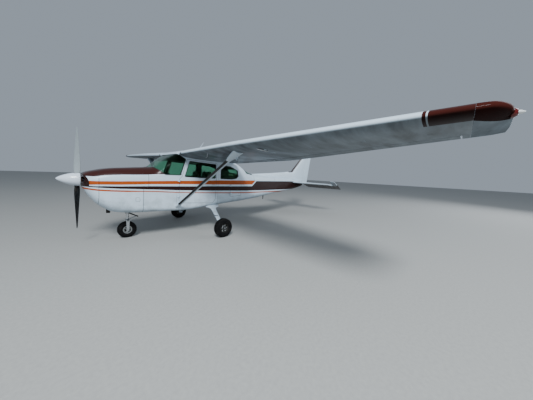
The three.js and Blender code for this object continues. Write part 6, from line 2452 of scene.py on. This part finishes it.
both("control_wheel_{}_yoke", make_control_wheel(), "airframe", "black_plastic", "control_wheel_{}")
pedals = []
for left in (-345, -185, 185, 345):
    outline = rounded([(262, 812), (300, 812), (330, 930), (292, 936)], 8)
    pedals.append(coated(prism("pedal", outline, left - 44, left + 44), black_plastic))
    pedals.append(coated(bar("arm", at(296, left, 840), at(270, left, FLOOR_UP - 1), 7), dark_steel))
piece("rudder_pedals", bound("pedals", *pedals), "airframe", "black_plastic")

# %% [markdown]
# ## Seats
# Each seat is a cushion and a back, stuffed and sewn from cloth, on a painted pedestal. The shapes
# start a little small and flat. Blender's cloth solver blows them up like the foam inside does,
# and a cap on how far a point may move keeps them on the frame. Piping along the edges comes
# afterwards, because the remesh before the solver would wipe it out.

# %% Stuffed pads
PAD_CAP = 0.024


def pad_shape(outline, left_from, left_to, inset=16):
    """The flat start of a pad: its side view, drawn in, pushed across the seat."""
    shape = offset_outline(rounded(outline, 28, 4), -inset * 0.4)
    rows = 6
    lefts = [left_from + inset + (left_to - left_from - 2 * inset) * k / rows for k in range(rows + 1)]
    return loft("pad", [[at(a, left, u) for a, u in shape] for left in lefts])


def blown(mesh, voxel=0.014, pressure=4.0):
    """Remesh, inflate as cloth, cap the movement, then apply it all to a new mesh."""
    pad = bpy.data.objects.new("blowing", mesh)
    scene.collection.objects.link(pad)
    step = pad.modifiers.new("even", "REMESH")
    step.mode = "VOXEL"
    step.voxel_size = voxel
    seen = bpy.context.evaluated_depsgraph_get()
    even = bpy.data.meshes.new_from_object(pad.evaluated_get(seen))
    pad.modifiers.clear()
    pad.data = even
    start = np.empty(len(even.vertices) * 3)
    even.vertices.foreach_get("co", start)
    start = start.reshape(-1, 3)
    puffed = start.copy()
    cloth = pad.modifiers.new("stuffing", "CLOTH")
    cloth.settings.use_pressure = True
    cloth.settings.uniform_pressure_force = pressure
    cloth.settings.effector_weights.gravity = 0.0
    cloth.settings.mass = 0.3
    cloth.settings.tension_stiffness = 24.0
    cloth.settings.quality = 4
    cloth.point_cache.frame_start = 1
    cloth.point_cache.frame_end = 20
    for number in range(1, 21):
        scene.frame_set(number)
    seen = bpy.context.evaluated_depsgraph_get()
    moved = bpy.data.meshes.new_from_object(pad.evaluated_get(seen))
    flat = np.empty(len(moved.vertices) * 3)
    moved.vertices.foreach_get("co", flat)
    puffed = flat.reshape(-1, 3)
    scene.frame_set(1)
    pad.modifiers.clear()
    shift = puffed - start
    length = np.linalg.norm(shift, axis=1, keepdims=True)
    shift *= np.minimum(1.0, PAD_CAP / np.maximum(length, 1e-9))
    even.vertices.foreach_set("co", (start + shift).ravel())
    even.update()
    step = pad.modifiers.new("smooth", "SUBSURF")
    step.levels = 1
    seen = bpy.context.evaluated_depsgraph_get()
    result = bpy.data.meshes.new_from_object(pad.evaluated_get(seen))
    bpy.data.objects.remove(pad)
    print(f"pad of {len(result.vertices)} points, moved up to {length.max() * 1000:.1f} mm")
    return smooth(result)


# %% Seats
SEATS = {
    # front, depth, cushion top, back top, left from, left to
    "front_seat_left": (1010, 440, 1030, 1560, 50, 490),
    "front_seat_right": (1010, 440, 1030, 1560, -490, -50),
    "rear_seat": (1910, 420, 990, 1440, -430, 430),
}


def piping(points, finish):
    return cable("piping", points + points[:1], 3.5, finish, sides=8, steps=3)


def make_seat(front, depth, cushion_up, back_up, left_from, left_to):
    back = front + depth
    cushion = [
        (front + 2, cushion_up - 104), (back - 6, cushion_up - 118), (back - 2, cushion_up + 6),
        (front + 14, cushion_up + 14),
    ]
    rest = [
        (back - 62, cushion_up + 20), (back + 28, cushion_up - 4), (back + 140, back_up - 12),
        (back + 72, back_up - 6),
    ]
    bottom = blown(pad_shape(cushion, left_from + 4, left_to - 4))
    top = blown(pad_shape(rest, left_from + 6, left_to - 6))
    seams = []
    for outline, low, high in ((cushion, left_from, left_to), (rest, left_from, left_to)):
        ring = offset_outline(rounded(outline, 30, 3), 1)
        for left in (low + 16, high - 16):
            seams.append(piping([(a, left, u) for a, u in ring], lining))
    return coated(bottom, seat_cloth), coated(top, seat_cloth), seams


def make_pedestal(front, depth, cushion_up, left_from, left_to):
    """A sheet box on two rails."""
    box = [
        (front + 66, FLOOR_UP + 22), (front + depth - 62, FLOOR_UP + 22),
        (front + depth - 78, cushion_up - 128), (front + 78, cushion_up - 128),
    ]
    parts = [coated(prism("box", rounded(box, 10), left_from + 64, left_to - 64), black_plastic)]
    pan = [
        (front + 20, cushion_up - 128), (front + depth - 10, cushion_up - 132),
        (front + depth - 10, cushion_up - 120), (front + 20, cushion_up - 116),
    ]
    parts.append(coated(prism("pan", pan, left_from + 30, left_to - 30), dark_steel))
    for left in (left_from + 78, left_to - 78):
        outline = oblong(front + 40, front + depth, FLOOR_UP + 0.4, FLOOR_UP + 22)
        parts.append(coated(prism("rail", outline, left - 9, left + 9), bright_steel))
    return bound("pedestal", *parts)


for name, (front, depth, cushion_up, back_up, left_from, left_to) in SEATS.items():
    bottom, top, seams = make_seat(front, depth, cushion_up, back_up, left_from, left_to)
    piece(f"{name}_cushion", bottom, "airframe", "seat_cloth", name)
    piece(f"{name}_back", top, "airframe", "seat_cloth")
    piece(f"{name}_piping", bound("seams", *seams), "airframe", "seat_cloth")
    frame_mesh = make_pedestal(front, depth, cushion_up, left_from, left_to)
    piece(f"{name}_frame", frame_mesh, "airframe", "black_plastic")

# %% [markdown]
# ## Small fittings
# The beacon, the antenna and the pitot tube come from the solids. Door handles, cowl fasteners,
# fuel caps, a tank vent, inspection plates, a belly antenna and the fresh air inlets are what one
# finds when walking round such an aircraft.

# %% Beacon, antenna and pitot tube
FIN_CAP_AFT = 6440
BEACON_SIZE = (34, 9.9, 66)


def make_beacon():
    foot = at(FIN_CAP_AFT, 0, FIN_TOP_UP + 0.3)
    ring = [(1.0, 0), (1.0, 0.18), (0.94, 0.26), (0.9, 0.6), (0.8, 0.84), (0.55, 0.96), (0.2, 1.0)]
    long, half, high = BEACON_SIZE
    oval = [FORWARD * (long * math.cos(t)) + LEFTWARD * (half * math.sin(t)) for t in round_turns(28)]
    loops = [[foot + p * (wide / 1000) + UPWARD * (tall * high / 1000) for p in oval] for wide, tall in ring]
    base = [loops[0], [p + UPWARD * 0.006 for p in loops[0]]]
    return bound("beacon", coated(loft("lens", loops), red_lens), coated(loft("base", base), bright_steel))


def make_antenna():
    foot, tip = at(1344, 0, 1950), at(1560, 0, 2330)
    along = tip - foot
    rod = coated(bar("rod", foot, foot + along * 0.975, 8.4, 3.2, sides=20), white)
    knob = [(0.1, -5), (4.0, -4.5), (4.4, 0), (3.6, 3.4), (0.1, 4.4)]
    ball = coated(turned("ball", foot + along * 0.974, along.normalized(), knob, 16), black_plastic)
    collar = bar("collar", foot + along * 0.06, foot + along * 0.115, 8.8, 8.6, sides=20)
    body = skin_tool(1200, 1500, white)
    return bound("antenna", cut(rod, body), ball, coated(collar, black_plastic))


def make_pitot():
    wall = [(7, 0), (8.5, -2), (11, -12), (11, 160), (8, 190), (4.5, 200), (3, 198), (3, 150), (7, 140)]
    tube = coated(turned("tube", at(1000, 3000, 1848), FORWARD, wall, 28), polished)
    rings = []
    for up in (1842, 1850, 1900, 1938):
        rings.append(tube_ring(at(970, 3000, up), FORWARD, LEFTWARD, 60, 11.8))
    mast = coated(loft("mast", rings), wing_white)
    room = coated(loft("room", [wing_section(left) for left in (2900, 3100)]), wing_white)
    return bound("pitot", tube, cut(mast, room))


piece("beacon_lens", make_beacon(), "airframe", "red_lens", "beacon")
piece("antenna_rod", make_antenna(), "airframe", "white_paint", "radio_antenna")
piece("pitot_probe", make_pitot(), "airframe", "polished_alloy", "pitot_tube")

# %% Door handles, caps, plates and vents
def skin_point(aft, up, proud=0.0):
    return at(aft, half_width(aft, up) + proud, up)


def make_door_handle():
    reach = half_width(1590, 1191)
    tray = coated(block("tray", (1540, 1642), (reach - 3, reach + 1.5), (1178, 1204)), bright_steel)
    lever = coated(block("lever", (1548, 1632), (reach + 1.5, reach + 12), (1185, 1197)), bright_steel)
    return bound("handle", tray, lever)


def ring_plate(name, outline, span, width=4.0):
    """A thin dark joint round an access panel, flush on the left of the skin."""
    ring = layer(name, span, -0.6, 2, trim_black, outline, 0)
    inner = coated(prism("inner", offset_outline(outline, -width), -50, BEYOND + 50), trim_black)
    return cut(ring, inner)


def make_cowl_panel():
    outline = rounded(oblong(-136, -61, 770, 856), 20)
    return ring_plate("cowl_panel", outline, (-300, 60))


def make_fasteners():
    heads = []
    for up in (THRUST_UP - 24, THRUST_UP + 24):
        for k in range(7):
            aft = -690 + 108 * k
            foot = skin_point(aft, up, -1.0)
            heads.append(coated(bar("head", foot, foot + LEFTWARD * 0.003, 8, 7, sides=14), striped))
    for up in (700, 800, 900, 1000, 1230, 1310):
        foot = skin_point(-22, up, -1.0)
        heads.append(coated(bar("head", foot, foot + LEFTWARD * 0.003, 8, 7, sides=14), striped))
    return bound("fasteners", *heads)


def make_fuel_cap():
    aft, left, up = wing_spot(900, 0.2, 1)
    wall = [(0.1, 7), (30, 7), (36, 5), (38, 0), (38, -6), (0.1, -6)]
    cap = coated(turned("cap", at(aft, left, up), UPWARD, wall, 40), cast_alloy)
    tab = coated(block("tab", (aft - 24, aft + 24), (left - 5, left + 5), (up + 6, up + 12)), dark_steel)
    return bound("fuel_cap", cap, tab)


def make_inspection_plates():
    plates = []
    for left in (1180, 1900, 2900, 3600, 4300):
        aft, _, up = wing_spot(left, 0.36, -1)
        wall = [(0.1, 0), (52, 0), (52, 4), (0.1, 4)]
        plates.append(coated(turned("plate", at(aft, left, up - 2), UPWARD, wall, 36), wing_white))
        for k in range(6):
            t = 2 * math.pi * k / 6
            head = (aft + 43 * math.cos(t), left + 43 * math.sin(t), up - 1)
            screw = bar("screw", at(*head), at(head[0], head[1], up - 3.4), 3, sides=8)
            plates.append(coated(screw, dark_steel))
    return bound("plates", *plates)


def make_fuel_vent():
    route = [(800, 1590, 1862), (800, 1590, 1810), (788, 1590, 1775), (752, 1590, 1757)]
    return cable("vent", route, 7, polished)


def make_belly_antenna():
    side = [(3975, 940), (4035, 940), (4020, 745), (4000, 736)]
    rows = [[at(a, y, u) for a, u in side] for y in (-5, 5)]
    return coated(loft("blade", rows), black_plastic)


def make_scoop():
    """The round fresh air inlet in the root of the leading edge."""
    place = at(661, 668, 1862)
    wall = [(20, -6), (27, -6), (27, 1), (24, 3), (20, 1)]
    ring = coated(turned("ring", place, FORWARD, wall, 32), black_plastic)
    mouth = coated(turned("mouth", place, FORWARD, [(0.1, -1), (21, -1), (21, 0), (0.1, 0)], 24), trim_black)
    return bound("scoop", ring, mouth)


both("door_{}_handle", make_door_handle(), "door_{}", "bright_steel")
piece("cowl_access_panel", make_cowl_panel(), "airframe", "black_plastic")
both("cowl_{}_fasteners", make_fasteners(), "airframe", "bright_steel")
both("fuel_{}_cap", make_fuel_cap(), "airframe", "wheel_alloy")
both("wing_{}_plates", make_inspection_plates(), "airframe", "white_paint")
piece("fuel_vent", make_fuel_vent(), "airframe", "polished_alloy")
piece("belly_antenna", make_belly_antenna(), "airframe", "black_plastic")
both("cabin_air_{}_scoop", make_scoop(), "airframe", "black_plastic")

# %% [markdown]
# ## Floor and light
# The floor is a plain pale sheet. Two large soft lamps and an even pale sky light the aircraft the
# way an overcast day does, a little stronger from the side of the sun in the photograph.

# %% Floor and light
def make_floor_sheet():
    half = 60.0
    points = [(-half, -half, -0.001), (half, -half, -0.001), (half, half, -0.001), (-half, half, -0.001)]
    mesh = mesh_of("floor", points, [(0, 1, 2, 3)])
    made, g, shader = material_of("pale_floor")
    grain = g.noise(g.own_place(), 30.0, 3.0, 0.5)
    g.plug(
        g.blend(g.spread(grain, 0.3, 0.7), srgb(160, 160, 158), srgb(168, 168, 165)),
        shader["Base Color"],
    )
    g.plug(g.spread(grain, 0.2, 0.8, 0.82, 0.92), shader["Roughness"])
    sheet = bpy.data.objects.new("floor", coated(mesh, made))
    scene.collection.objects.link(sheet)


LAMP_AIM = Vector((0, 0, 1))


def soft_lamp(name, place, size, watts, colour):
    lamp = bpy.data.lights.new(name, "AREA")
    lamp.shape = "DISK"
    lamp.size = size
    lamp.energy = watts
    lamp.color = colour
    item = bpy.data.objects.new(name, lamp)
    item.location = place
    item.rotation_euler = (LAMP_AIM - Vector(place)).to_track_quat("-Z", "Y").to_euler()
    scene.collection.objects.link(item)


make_floor_sheet()
sky = bpy.data.worlds.new("pale_sky")
sky.use_nodes = True
sky.node_tree.nodes["Background"].inputs["Color"].default_value = (0.74, 0.86, 1.0, 1)
sky.node_tree.nodes["Background"].inputs["Strength"].default_value = 0.40
scene.world = sky
soft_lamp("main_lamp", (9, 11, 12), size=5, watts=3800, colour=(0.92, 0.97, 1.0))
soft_lamp("fill_lamp", (-12, 9, 7), size=8, watts=900, colour=(0.88, 0.94, 1.0))
